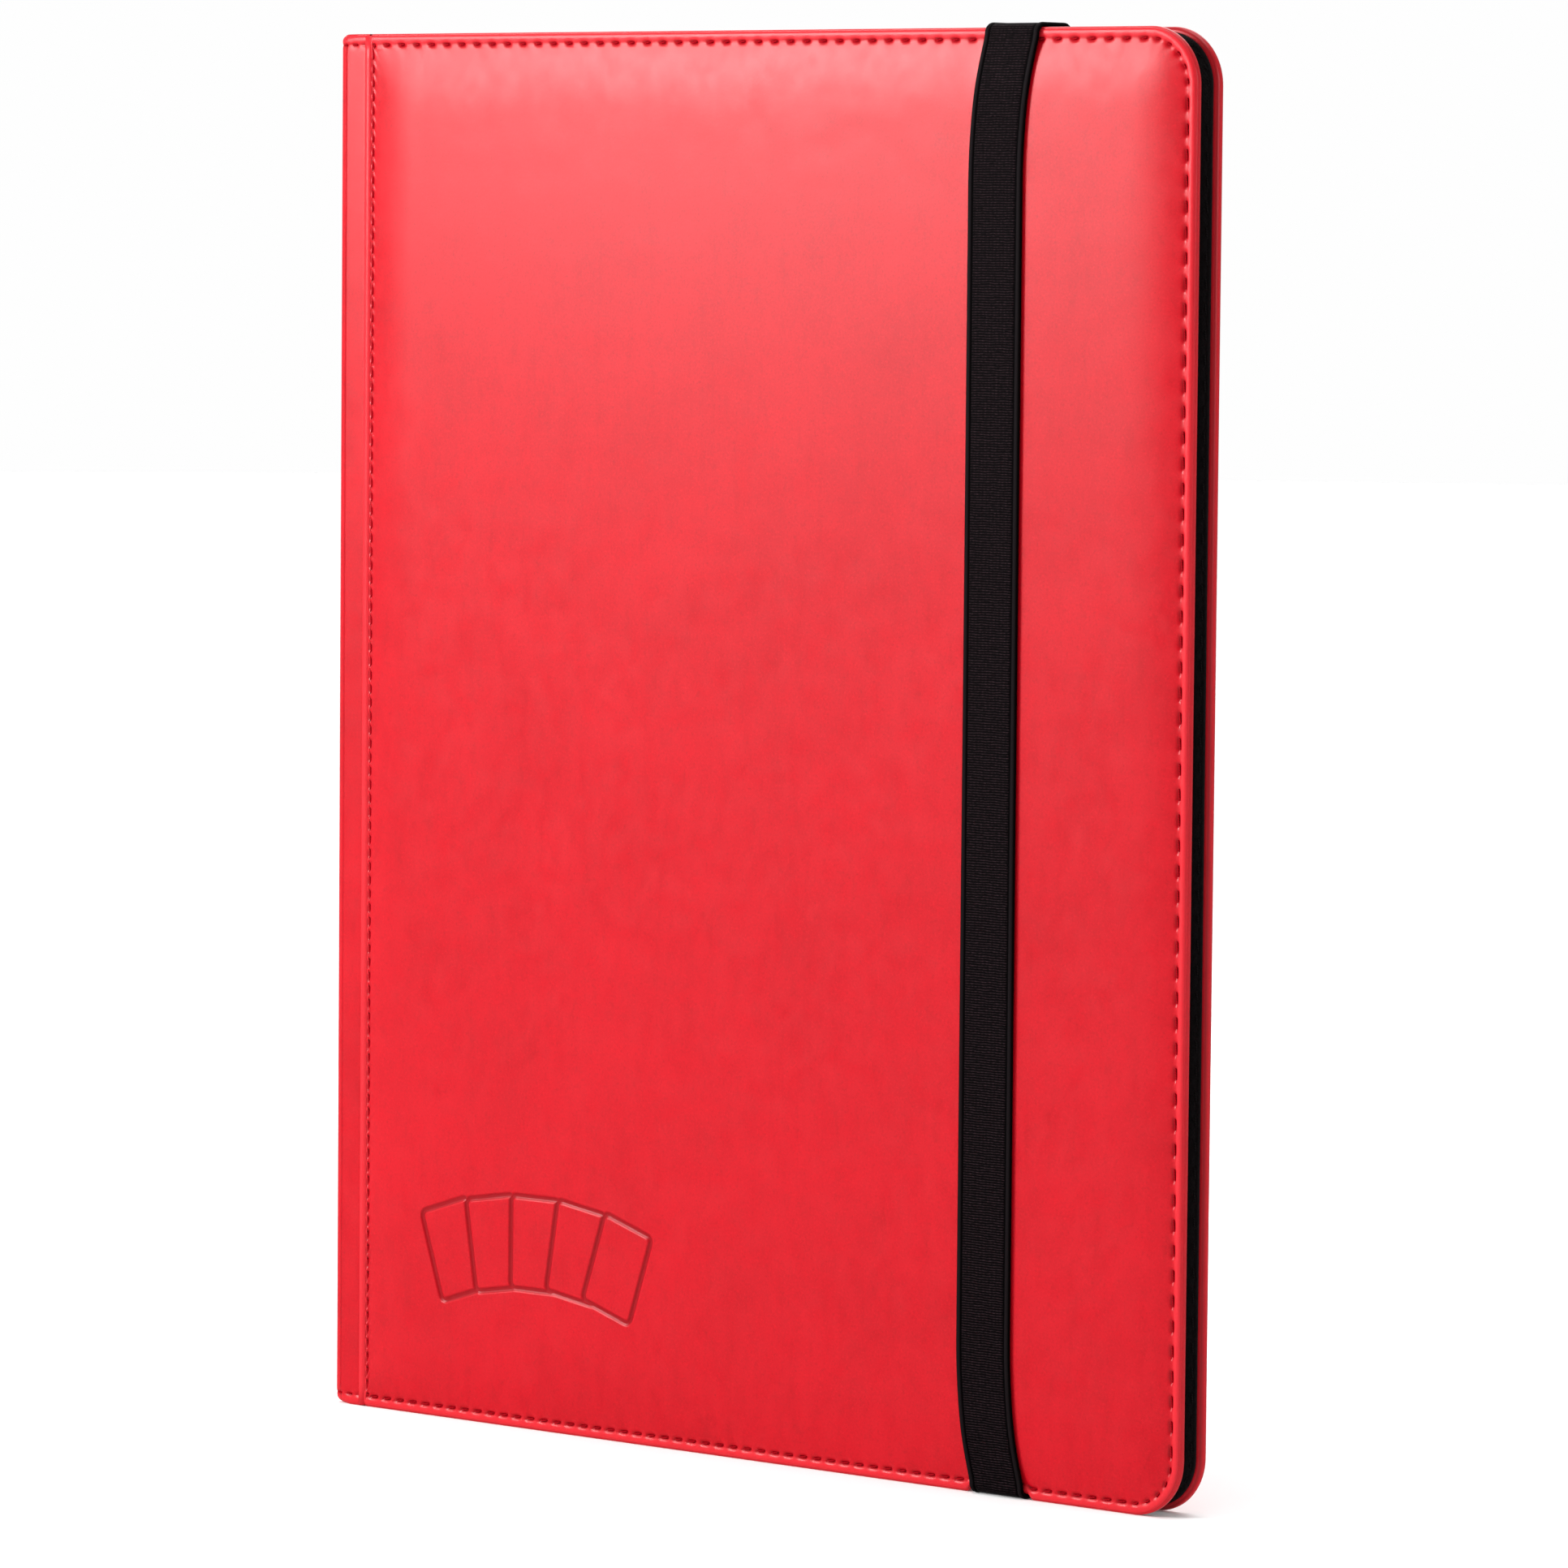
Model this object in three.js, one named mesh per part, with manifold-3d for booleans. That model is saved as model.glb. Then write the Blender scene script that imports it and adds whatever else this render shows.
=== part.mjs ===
// A padded trading card binder that stands on its bottom edge, closed by an elastic strap.
// X runs from the spine (-X) to the fore edge (+X), the front cover faces -Y, and Z is up.
// The origin is under the middle of the closed album, on the plane it stands on.
import * as THREE from "three";
import { mergeVertices } from "three/addons/utils/BufferGeometryUtils.js";
import Module from "manifold-3d";

const wasm = await Module();
wasm.setup();

// Covers
const WIDTH = 264; // spine to fore edge
const HEIGHT = 340; // bottom to top of the covers
const HALF_BLOCK = 2.8; // middle plane to the inner face of a cover
const COVER = 2.5; // a cover's thickness at its rim
const RIM = HALF_BLOCK + COVER; // middle plane to the rim's outer face
const PAD = 1.3; // how far the padded panel stands proud of the rim
const FORE_RADIUS = 13.5; // corners at the fore edge
const SEAM = 10.2; // spine edge to the seam of the padded cover
const TURN_IN = 1.5; // width of the leather turned over the edge
const LINING = 0.5;
const BOARD = 1.0;
const PLY = 0.05; // clearance between two glued layers
const STITCH_INSET = 2.7; // edge to the line of stitches
const STITCH_WIDTH = 0.7;

// Spine
const SPINE_RADIUS = 3;
const LEATHER = 0.8;
const SEAM_GAP = 0.4; // gap that the cover folds at

// Leaves
const LEAVES = 10;
const LEAF_PITCH = 0.54;
const LEAF_BASE = 0.14;
const LEAF_POCKET = 0.26;
const LEAF_X = 124.5; // fore edge of the leaves
const LEAF_HEIGHT = 318;
const LEAF_FOLD_X = -119.2; // fold line of the outermost leaf
const LEAF_FOLD_STEP = 0.35; // each leaf further in folds this much further from the spine
const POCKET_W = 69;
const POCKET_H = 95;
const WELD = 4; // width of the weld between two pockets

// Elastic strap
const STRAP_X = 76.1; // middle of the strap
const STRAP_SWAY = 3.6; // how far its ends lie towards the fore edge
const SWAY_LENGTH = 34;
const STRAP_W = 15.6;
const STRAP_T = 1.0;
const STRAP_LIFT = 0.1; // clearance between the strap and the covers
const STRAP_RADIUS = 3.2; // outer radius of the bend over an edge
const NOTCH = 1.3; // depth that the strap presses into the bottom edges
const TAIL = 24; // length of the strap's sewn ends on the back cover

// Debossed sign: a fan of blank card outlines
const SIGN_X = -63.5;
const SIGN_Z = 46;
const SIGN_CARDS = 5;
const SIGN_CARD_W = 17;
const SIGN_CARD_H = 24;
const SIGN_LINE = 0.9;
const SIGN_DEPTH = 0.3;
const SIGN_SPREAD = 13.2;
const SIGN_TILT = 9; // degrees between neighbouring cards

const LEFT = -WIDTH / 2;
const RIGHT = WIDTH / 2;
const SEAM_X = LEFT + SEAM;
const PANEL_X = SEAM_X + SEAM_GAP;

const look = (color, roughness, metalness = 0) =>
  new THREE.MeshStandardMaterial({ color, roughness, metalness });
const LEATHER_RED = look(0xe5303c, 0.45);
const THREAD_RED = look(0x9c1018, 0.8);
const LINING_GREY = look(0x4c4244, 0.9);
const BOARD_GREY = look(0x8f8a80, 0.95);
const FOAM_WHITE = look(0xd8d5cf, 0.95);
const LEAF_BLACK = look(0x131315, 0.35);
const ELASTIC_BLACK = look(0x1f1b1c, 0.85);

const album = new THREE.Group();

// Adds a mesh under its own name.
function put(name, geometry, material, parent = album) {
  const mesh = new THREE.Mesh(geometry, material);
  mesh.name = name;
  parent.add(mesh);
  return mesh;
}

// A closed geometry as a solid, for joining and cutting.
function solid(geometry) {
  const bare = geometry.index ? geometry.toNonIndexed() : geometry.clone();
  bare.deleteAttribute("normal");
  bare.deleteAttribute("uv");
  const merged = mergeVertices(bare, 1e-4);
  return new wasm.Manifold(
    new wasm.Mesh({
      numProp: 3,
      vertProperties: merged.attributes.position.array,
      triVerts: new Uint32Array(merged.index.array),
    }),
  );
}

// A solid as a flat-shaded geometry.
function geometryOf(body) {
  const mesh = body.getMesh();
  const geometry = new THREE.BufferGeometry();
  geometry.setAttribute("position", new THREE.BufferAttribute(mesh.vertProperties, 3));
  geometry.setIndex(new THREE.BufferAttribute(mesh.triVerts, 1));
  const flat = geometry.toNonIndexed();
  flat.computeVertexNormals();
  return flat;
}

// A box from its low corner to its high corner.
function box(low, high) {
  const size = high.map((v, i) => v - low[i]);
  const geometry = new THREE.BoxGeometry(...size);
  geometry.translate(...low.map((v, i) => v + size[i] / 2));
  return geometry;
}

// A closed outline in X and Y, drawn as a shape and extruded up Z.
function extrude(shape, z0, z1, curveSegments = 6) {
  const geometry = new THREE.ExtrudeGeometry(shape, {
    depth: z1 - z0,
    bevelEnabled: false,
    curveSegments,
  });
  geometry.translate(0, 0, z0);
  return geometry;
}

// The outline of a cover, in from its edges by one distance and in from its seam by another.
// It holds the same number of points at every inset.
function coverOutline(inset, seamInset) {
  const x0 = PANEL_X + seamInset;
  const x1 = RIGHT - inset;
  const z0 = inset;
  const z1 = HEIGHT - inset;
  const big = Math.max(FORE_RADIUS - inset, 5);
  const small = 0.6;
  const points = [];
  const corner = (cx, cz, r, from, steps) => {
    for (let i = 0; i <= steps; i++) {
      const a = from + ((Math.PI / 2) * i) / steps;
      points.push([cx + r * Math.cos(a), cz + r * Math.sin(a)]);
    }
  };
  corner(x1 - big, z0 + big, big, -Math.PI / 2, 8);
  corner(x1 - big, z1 - big, big, 0, 8);
  corner(x0 + small, z1 - small, small, Math.PI / 2, 2);
  corner(x0 + small, z0 + small, small, Math.PI, 2);
  return points;
}

// The stitched edge is narrower along the seam than along the three free edges.
const seamInsetOf = (inset) =>
  inset < 3.6 ? inset * 0.45 : 1.62 + (inset - 3.6);

// A solid lofted through rings of equal point count, each [inset, height], capped at both ends.
// Height runs up Z, so the plate lies flat.
function loft(levels) {
  const rings = levels.map(([inset, h]) =>
    coverOutline(inset, seamInsetOf(inset)).map(([x, y]) => [x, y, h]),
  );
  const n = rings[0].length;
  const position = rings.flat(2);
  const index = [];
  for (let k = 0; k + 1 < rings.length; k++) {
    for (let i = 0; i < n; i++) {
      const a = k * n + i;
      const b = k * n + ((i + 1) % n);
      index.push(a, b, b + n, a, b + n, a + n);
    }
  }
  const faces = (ring) =>
    THREE.ShapeUtils.triangulateShape(
      ring.map(([x, y]) => new THREE.Vector2(x, y)),
      [],
    );
  for (const [a, b, c] of faces(rings[0])) {
    index.push(c, b, a);
  }
  const top = (rings.length - 1) * n;
  for (const [a, b, c] of faces(rings[rings.length - 1])) {
    index.push(top + a, top + b, top + c);
  }
  const geometry = new THREE.BufferGeometry();
  geometry.setAttribute("position", new THREE.Float32BufferAttribute(position, 3));
  geometry.setIndex(index);
  return geometry;
}

// Stands a flat plate up: its height becomes the distance out from the middle plane.
// side -1 is the front cover, side 1 the back cover.
function stand(body, side) {
  const up = body.rotate([90, 0, 0]);
  return side < 0 ? up : up.scale([1, -1, 1]);
}

// Cuts the pressed seat of the strap into a plate's bottom edge.
function withNotch(body) {
  const half = STRAP_W / 2 + 0.5;
  const x = STRAP_X + STRAP_SWAY;
  const cut = box([x - half, -2, -20], [x + half, NOTCH, 20]);
  return body.subtract(solid(cut));
}

// One blank card of the sign, standing at its place in the fan, either whole or as its outline.
function signCard(k, outline) {
  const shape = new THREE.Shape();
  const ring = (path, w, h, r) => {
    path.moveTo(w - r, -h);
    path.absarc(w - r, -h + r, r, -Math.PI / 2, 0, false);
    path.absarc(w - r, h - r, r, 0, Math.PI / 2, false);
    path.absarc(-w + r, h - r, r, Math.PI / 2, Math.PI, false);
    path.absarc(-w + r, -h + r, r, Math.PI, Math.PI * 1.5, false);
    path.closePath();
  };
  const w = SIGN_CARD_W / 2;
  const h = SIGN_CARD_H / 2;
  ring(shape, w, h, 2.2);
  if (outline) {
    const hole = new THREE.Path();
    ring(hole, w - SIGN_LINE, h - SIGN_LINE, 1.4);
    shape.holes.push(hole);
  }
  const geometry = extrude(shape, RIM + PAD - SIGN_DEPTH, RIM + PAD + 2, 3);
  geometry.rotateZ(THREE.MathUtils.degToRad(-SIGN_TILT * k));
  geometry.translate(SIGN_X + SIGN_SPREAD * k, SIGN_Z - 0.9 * k * k, 0);
  return solid(geometry);
}

// Presses the sign into a plate: each card hides the lines of the one behind it.
function withSign(body) {
  let pressed = body;
  let covering = null;
  for (let i = SIGN_CARDS - 1; i >= 0; i--) {
    const k = i - (SIGN_CARDS - 1) / 2;
    const line = signCard(k, true);
    pressed = pressed.subtract(covering ? line.subtract(covering) : line);
    covering = covering ? covering.add(signCard(k, false)) : signCard(k, false);
  }
  return pressed;
}

// The leather of a cover: a tray whose padded panel bulges inside a stitched, rolled rim.
const out = RIM;
const peak = RIM + PAD;
const TRAY = [
  [18, peak - LEATHER],
  [10, peak - LEATHER - 0.3],
  [6, peak - LEATHER - 0.7],
  [3.8, out - LEATHER],
  [TURN_IN, out - LEATHER],
  [TURN_IN, HALF_BLOCK],
  [0.3, HALF_BLOCK],
  [0, HALF_BLOCK + 0.4],
  [0, out - 0.7],
  [0.3, out - 0.2],
  [0.9, out],
  [1.9, out],
  [STITCH_INSET - 0.4, out - 0.35],
  [STITCH_INSET + 0.4, out - 0.35],
  [3.6, out + 0.05],
  [6, out + 0.6],
  [10, out + 1.0],
  [18, peak],
];
const BOARD_TOP = HALF_BLOCK + LINING + PLY + BOARD;
const FOAM = [
  [3.9, BOARD_TOP + PLY],
  [3.9, out - LEATHER - PLY],
  [6, peak - LEATHER - 0.7 - PLY],
  [10, peak - LEATHER - 0.3 - PLY],
  [18, peak - LEATHER - PLY],
];

// Every layer of one cover, from the leather in to the lining.
function cover(name, side) {
  const plain = withNotch(solid(loft(TRAY)));
  const skin = side < 0 ? withSign(plain) : plain;
  put(name + "_leather", geometryOf(stand(skin, side)), LEATHER_RED);
  put(name + "_foam", geometryOf(stand(solid(loft(FOAM)), side)), FOAM_WHITE);
  const inside = TURN_IN + PLY;
  const board = [
    [inside, HALF_BLOCK + LINING + PLY],
    [inside, BOARD_TOP],
  ];
  put(name + "_board", geometryOf(stand(solid(loft(board)), side)), BOARD_GREY);
  const lining = [
    [inside, HALF_BLOCK],
    [inside, HALF_BLOCK + LINING],
  ];
  put(name + "_lining", geometryOf(stand(solid(loft(lining)), side)), LINING_GREY);
  const half = STITCH_WIDTH / 2;
  const low = out - 0.3;
  const thread = [
    [STITCH_INSET - half, low],
    [STITCH_INSET - half, low + 0.3],
  ];
  const hole = [
    [STITCH_INSET + half, low - 1],
    [STITCH_INSET + half, low + 1],
  ];
  const bead = solid(loft(thread)).subtract(solid(loft(hole)));
  put(name + "_stitch_line", geometryOf(stand(bead, side)), THREAD_RED);
}

cover("front", -1);
cover("back", 1);

// A U-shaped layer of the spine, open towards the fore edge, with its corners rounded.
function spineLayer(inset, thickness, legEnd) {
  const shape = new THREE.Shape();
  const x = LEFT + inset;
  const y = RIM - inset;
  const r = Math.max(SPINE_RADIUS - inset, 0.4);
  const q = Math.max(r - thickness, 0.2);
  const xi = x + thickness;
  const yi = y - thickness;
  shape.moveTo(legEnd, -y);
  shape.lineTo(legEnd, -yi);
  shape.lineTo(xi + q, -yi);
  shape.absarc(xi + q, -yi + q, q, -Math.PI / 2, Math.PI, true);
  shape.absarc(xi + q, yi - q, q, Math.PI, Math.PI / 2, true);
  shape.lineTo(legEnd, yi);
  shape.lineTo(legEnd, y);
  shape.absarc(x + r, y - r, r, Math.PI / 2, Math.PI, false);
  shape.absarc(x + r, -y + r, r, Math.PI, Math.PI * 1.5, false);
  shape.closePath();
  return shape;
}

put("spine_leather", extrude(spineLayer(0, LEATHER, SEAM_X), 0, HEIGHT, 5), LEATHER_RED);
const liningInset = RIM - HALF_BLOCK - LINING;
put(
  "spine_lining",
  extrude(spineLayer(liningInset, LINING, SEAM_X), 0.6, HEIGHT - 0.6, 3),
  LINING_GREY,
);

// Stiff board behind the spine and the soft fillers of the two hinge strips.
const coreLow = HALF_BLOCK + LINING + PLY;
const coreHigh = RIM - LEATHER - PLY;
put(
  "spine_board",
  box([LEFT + LEATHER + PLY, -2.4, 1], [LEFT + liningInset - PLY, 2.4, HEIGHT - 1]),
  BOARD_GREY,
);
for (const [name, side] of [
  ["front", -1],
  ["back", 1],
]) {
  const y = [side * coreLow, side * coreHigh].sort((a, b) => a - b);
  put(
    name + "_hinge_filler",
    box([LEFT + 3.2, y[0], 1], [SEAM_X - 0.3, y[1], HEIGHT - 1]),
    FOAM_WHITE,
  );
}

// The cloth strips inside the album that bridge the two seams and bend with them.
for (const [name, side] of [
  ["front", -1],
  ["back", 1],
]) {
  const y = [side * (HALF_BLOCK - 0.2), side * (HALF_BLOCK - 0.05)].sort((a, b) => a - b);
  put(
    name + "_hinge_cloth",
    box([SEAM_X - 2.4, y[0], 2], [SEAM_X + 2.8, y[1], HEIGHT - 2]),
    LINING_GREY,
  );
}

// The binding block inside the spine. Its nose is a wedge, so each leaf folds clear of the next.
const bindBack = LEFT + RIM - HALF_BLOCK + 0.3;
const bindHalf = HALF_BLOCK - 0.3;
const noseReach = (LEAF_FOLD_STEP / LEAF_PITCH) * (bindHalf - 0.27);
const bind = new THREE.Shape();
bind.moveTo(bindBack, -bindHalf);
bind.lineTo(LEAF_FOLD_X - 0.5, -bindHalf);
bind.lineTo(LEAF_FOLD_X - 0.5 + noseReach, -0.27);
bind.lineTo(LEAF_FOLD_X - 0.5 + noseReach, 0.27);
bind.lineTo(LEAF_FOLD_X - 0.5, bindHalf);
bind.lineTo(bindBack, bindHalf);
bind.closePath();
put("page_binding", extrude(bind, 13, HEIGHT - 13), LEAF_BLACK);

// One leaf: a thin sheet with three by three pockets standing proud on both faces.
function leaf(x0) {
  const z0 = (HEIGHT - LEAF_HEIGHT) / 2;
  const r = 4;
  const shape = new THREE.Shape();
  shape.moveTo(x0, z0);
  shape.lineTo(LEAF_X - r, z0);
  shape.absarc(LEAF_X - r, z0 + r, r, -Math.PI / 2, 0, false);
  shape.lineTo(LEAF_X, z0 + LEAF_HEIGHT - r);
  shape.absarc(LEAF_X - r, z0 + LEAF_HEIGHT - r, r, 0, Math.PI / 2, false);
  shape.lineTo(x0, z0 + LEAF_HEIGHT);
  shape.closePath();
  let body = solid(extrude(shape, -LEAF_BASE / 2, LEAF_BASE / 2, 4));
  const high = LEAF_POCKET / 2;
  for (let column = 0; column < 3; column++) {
    for (let row = 0; row < 3; row++) {
      const x = LEAF_X - WELD - (column + 1) * POCKET_W - column * WELD;
      const z = HEIGHT / 2 + (row - 1) * (POCKET_H + WELD) - POCKET_H / 2;
      body = body.add(solid(box([x, z, -high], [x + POCKET_W, z + POCKET_H, high])));
    }
  }
  return body.rotate([90, 0, 0]);
}

for (let i = 0; i < LEAVES; i++) {
  const y = (i - (LEAVES - 1) / 2) * LEAF_PITCH;
  const fromCover = Math.min(i, LEAVES - 1 - i);
  const x = LEAF_FOLD_X + LEAF_FOLD_STEP * fromCover;
  const mesh = put("leaf_" + String(i + 1).padStart(2, "0"), geometryOf(leaf(x)), LEAF_BLACK);
  mesh.position.y = y;
}

// The strap's path in Y and Z, from one end to the other, thickened into a band.
const strapIn = RIM + PAD + STRAP_LIFT;
const strapOut = strapIn + STRAP_T;
const strapTop = HEIGHT + STRAP_LIFT + STRAP_T;
const BEND_Z = strapTop - STRAP_RADIUS;

// The bend over the top edges, from the front of the album to the back.
function overTop() {
  const r = STRAP_RADIUS;
  const q = r - STRAP_T;
  const shape = new THREE.Shape();
  shape.moveTo(-strapOut, BEND_Z);
  shape.absarc(-strapOut + r, BEND_Z, r, Math.PI, Math.PI / 2, true);
  shape.lineTo(strapOut - r, strapTop);
  shape.absarc(strapOut - r, BEND_Z, r, Math.PI / 2, 0, true);
  shape.lineTo(strapIn, BEND_Z);
  shape.absarc(strapOut - r, BEND_Z, q, 0, Math.PI / 2, false);
  shape.lineTo(-strapOut + r, strapTop - STRAP_T);
  shape.absarc(-strapOut + r, BEND_Z, q, Math.PI / 2, Math.PI, false);
  shape.closePath();
  return shape;
}

// Turns an outline drawn in Y and Z into a band across the strap's width.
function band(shape) {
  const geometry = extrude(shape, -STRAP_W / 2, STRAP_W / 2, 6);
  geometry.applyMatrix4(new THREE.Matrix4().set(0, 0, 1, 0, 1, 0, 0, 0, 0, 1, 0, 0, 0, 0, 0, 1));
  geometry.translate(STRAP_X + STRAP_SWAY, 0, 0);
  return geometry;
}

const top = band(overTop());
put("strap_over_top", top, ELASTIC_BLACK);
const bottom = geometryOf(solid(top).scale([1, 1, -1]));
bottom.translate(0, 0, HEIGHT + STRAP_LIFT + STRAP_T + 0.05);
put("strap_over_bottom", bottom, ELASTIC_BLACK);
const lowBend = HEIGHT + STRAP_LIFT + STRAP_T + 0.05 - BEND_Z;
const x0 = STRAP_X - STRAP_W / 2;
const x1 = STRAP_X + STRAP_W / 2;

// The front span: straight, with its ends drawn towards the fore edge.
const low = lowBend + 0.05;
const high = BEND_Z - 0.05;
const span = new THREE.Shape();
span.moveTo(x0 + STRAP_SWAY, low);
span.lineTo(x1 + STRAP_SWAY, low);
span.quadraticCurveTo(x1, low + SWAY_LENGTH / 2, x1, low + SWAY_LENGTH);
span.lineTo(x1, high - SWAY_LENGTH);
span.quadraticCurveTo(x1, high - SWAY_LENGTH / 2, x1 + STRAP_SWAY, high);
span.lineTo(x0 + STRAP_SWAY, high);
span.quadraticCurveTo(x0, high - SWAY_LENGTH / 2, x0, high - SWAY_LENGTH);
span.lineTo(x0, low + SWAY_LENGTH);
span.quadraticCurveTo(x0, low + SWAY_LENGTH / 2, x0 + STRAP_SWAY, low);
const front = extrude(span, 0, STRAP_T, 8);
front.rotateX(Math.PI / 2);
front.translate(0, -strapIn, 0);
put("strap_front", front, ELASTIC_BLACK);

// The ends, sewn to the outside of the back cover.
const e0 = x0 + STRAP_SWAY;
const e1 = x1 + STRAP_SWAY;
put("strap_end_top", box([e0, strapIn, BEND_Z - TAIL], [e1, strapOut, high]), ELASTIC_BLACK);
put("strap_end_bottom", box([e0, strapIn, low], [e1, strapOut, lowBend + TAIL]), ELASTIC_BLACK);

export default album;
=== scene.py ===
"""Trading card binder: the visible surfaces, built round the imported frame.

Lengths in this file are in millimetres until a mesh is made, and then in metres.
"""

import math

import bpy
import numpy as np
from mathutils import Matrix, Vector
from mathutils.geometry import delaunay_2d_cdt


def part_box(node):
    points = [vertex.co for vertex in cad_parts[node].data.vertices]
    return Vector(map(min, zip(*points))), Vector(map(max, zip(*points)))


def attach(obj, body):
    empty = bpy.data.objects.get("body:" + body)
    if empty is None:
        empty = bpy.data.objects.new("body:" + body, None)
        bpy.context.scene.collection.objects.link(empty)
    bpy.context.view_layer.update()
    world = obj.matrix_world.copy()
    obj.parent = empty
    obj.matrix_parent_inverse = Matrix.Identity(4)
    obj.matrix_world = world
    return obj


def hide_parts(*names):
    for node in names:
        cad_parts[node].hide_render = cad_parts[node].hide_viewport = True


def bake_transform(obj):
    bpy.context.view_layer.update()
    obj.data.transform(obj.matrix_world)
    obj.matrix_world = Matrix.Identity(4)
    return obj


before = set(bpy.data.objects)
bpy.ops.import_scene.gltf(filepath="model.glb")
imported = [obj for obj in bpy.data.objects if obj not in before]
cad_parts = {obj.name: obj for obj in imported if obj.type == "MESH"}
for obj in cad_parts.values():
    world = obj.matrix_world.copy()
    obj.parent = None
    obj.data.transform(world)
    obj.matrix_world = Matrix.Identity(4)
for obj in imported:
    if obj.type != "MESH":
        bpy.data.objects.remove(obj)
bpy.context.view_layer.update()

MM = 0.001


def span(node):
    """A CAD node's lowest and highest corner, in millimetres."""
    lo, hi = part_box(node)
    return np.array(lo) * 1000, np.array(hi) * 1000


# Sizes that the CAD model settles
cover_lo, cover_hi = span("front_leather")
spine_lo, spine_hi = span("spine_leather")
SEAM_SIDE = float(cover_lo[0])
RIGHT = float(cover_hi[0])
HEIGHT = float(cover_hi[2])
PEAK = float(-cover_lo[1])
INNER = float(-cover_hi[1])
RIM = float(-spine_lo[1])
LEFT = float(spine_lo[0])
LEG_END = float(spine_hi[0])
BULGE = PEAK - RIM
THICK = RIM - INNER
FORE_RADIUS = 13.5  # of the cover's corners
STITCH = 2.7  # from a cover's edge to the middle of its stitches
SPINE_RADIUS = 3.0
SPINE_PITCH, SPINE_SHARE = 3.4, 0.6  # of the stitches across the spine
PANEL_EDGE = 3.0  # inset at which the padded panel starts to rise
PANEL_RISE = 1.42
SWELL = 22.0  # inset at which it is level
SEAM_SWELL = 14.0  # how far from the seam it is level
COVER_THREAD, SEAM_THREAD, SPINE_THREAD, BOX_THREAD = 0.23, 0.31, 0.19, 0.16  # radii

strap_lo, strap_hi = span("strap_front")
end_lo, end_hi = span("strap_end_top")
STRAP_OUT = float(-strap_lo[1])
STRAP_IN = float(-strap_hi[1])
STRAP_W = float(end_hi[0] - end_lo[0])
STRAP_END_X = float(end_hi[0] + end_lo[0]) / 2
STRAP_X = float(strap_lo[0]) + STRAP_W / 2
STRAP_T = STRAP_OUT - STRAP_IN
STRAP_TOP = float(span("strap_over_top")[1][2])
STRAP_LOW = float(span("strap_over_bottom")[0][2])
STRAP_BEND = 3.2  # how far the strap's bend over an edge reaches down the cover
STRAP_RADIUS = 2.7

# The sign pressed into the front cover: a fan of blank cards
SIGN_X, SIGN_Z = -63.5, 46.0
SIGN_CARDS, SIGN_SPREAD, SIGN_TILT = 5, 13.2, 9.0
SIGN_W, SIGN_H, SIGN_CORNER = 17.0, 24.0, 2.2
SIGN_LINE, SIGN_DEPTH = 1.25, 0.42
SIGN_FROM_TO_X, SIGN_FROM_TO_Z = (-103.0, -24.0), (26.5, 60.5)


# ---------------------------------------------------------------- materials
class Nodes:
    """A material's node tree, with short calls for the nodes used here."""

    def __init__(self, name):
        self.mat = bpy.data.materials.new(name)
        self.mat.use_nodes = True
        self.tree = self.mat.node_tree
        self.shader = self.tree.nodes["Principled BSDF"]
        self.coord = None

    def add(self, kind, inputs=(), **settings):
        node = self.tree.nodes.new(kind)
        for key, value in settings.items():
            setattr(node, key, value)
        for key, value in dict(inputs).items():
            self.set(node.inputs[key], value)
        return node

    def set(self, socket, value):
        if isinstance(value, bpy.types.NodeSocket):
            self.tree.links.new(value, socket)
        else:
            socket.default_value = value

    def place(self, scale=(1, 1, 1), rotation=(0, 0, 0)):
        """Object coordinates in millimetres, stretched by scale."""
        if self.coord is None:
            self.coord = self.add("ShaderNodeTexCoord")
        mapping = self.add(
            "ShaderNodeMapping",
            {
                "Vector": self.coord.outputs["Object"],
                "Scale": tuple(1000 * s for s in scale),
                "Rotation": rotation,
            },
        )
        return mapping.outputs["Vector"]

    def noise(self, vector, scale, detail=2.0, roughness=0.5):
        node = self.add(
            "ShaderNodeTexNoise",
            {"Vector": vector, "Scale": scale, "Detail": detail, "Roughness": roughness},
        )
        return node.outputs["Fac"]

    def voronoi(self, vector, scale, feature="F1"):
        node = self.add(
            "ShaderNodeTexVoronoi", {"Vector": vector, "Scale": scale}, feature=feature
        )
        return node.outputs["Distance"]

    def attribute(self, name):
        return self.add("ShaderNodeAttribute", attribute_name=name).outputs["Fac"]

    def math(self, operation, a, b=0.0):
        node = self.add("ShaderNodeMath", operation=operation)
        self.set(node.inputs[0], a)
        self.set(node.inputs[1], b)
        return node.outputs[0]

    def axis(self, vector, letter):
        return self.add("ShaderNodeSeparateXYZ", {"Vector": vector}).outputs[letter]

    def wave(self, value, length):
        """A sine of a value, with its wave length."""
        return self.math("SINE", self.math("MULTIPLY", value, math.tau / length))

    def remap(self, value, low, high, to_low=0.0, to_high=1.0):
        node = self.add(
            "ShaderNodeMapRange",
            {
                "Value": value,
                "From Min": low,
                "From Max": high,
                "To Min": to_low,
                "To Max": to_high,
            },
        )
        return node.outputs["Result"]

    def mix(self, factor, a, b):
        node = self.add("ShaderNodeMix", data_type="RGBA")
        self.set(node.inputs["Factor"], factor)
        self.set(node.inputs["A"], a)
        self.set(node.inputs["B"], b)
        return node.outputs["Result"]

    def bump(self, height, distance_mm, strength=1.0, normal=None):
        inputs = {"Height": height, "Distance": distance_mm * MM, "Strength": strength}
        if normal is not None:
            inputs["Normal"] = normal
        return self.add("ShaderNodeBump", inputs).outputs["Normal"]

    def finish(self, **inputs):
        for key, value in inputs.items():
            self.set(self.shader.inputs[key.replace("_", " ")], value)
        return self.mat


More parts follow.
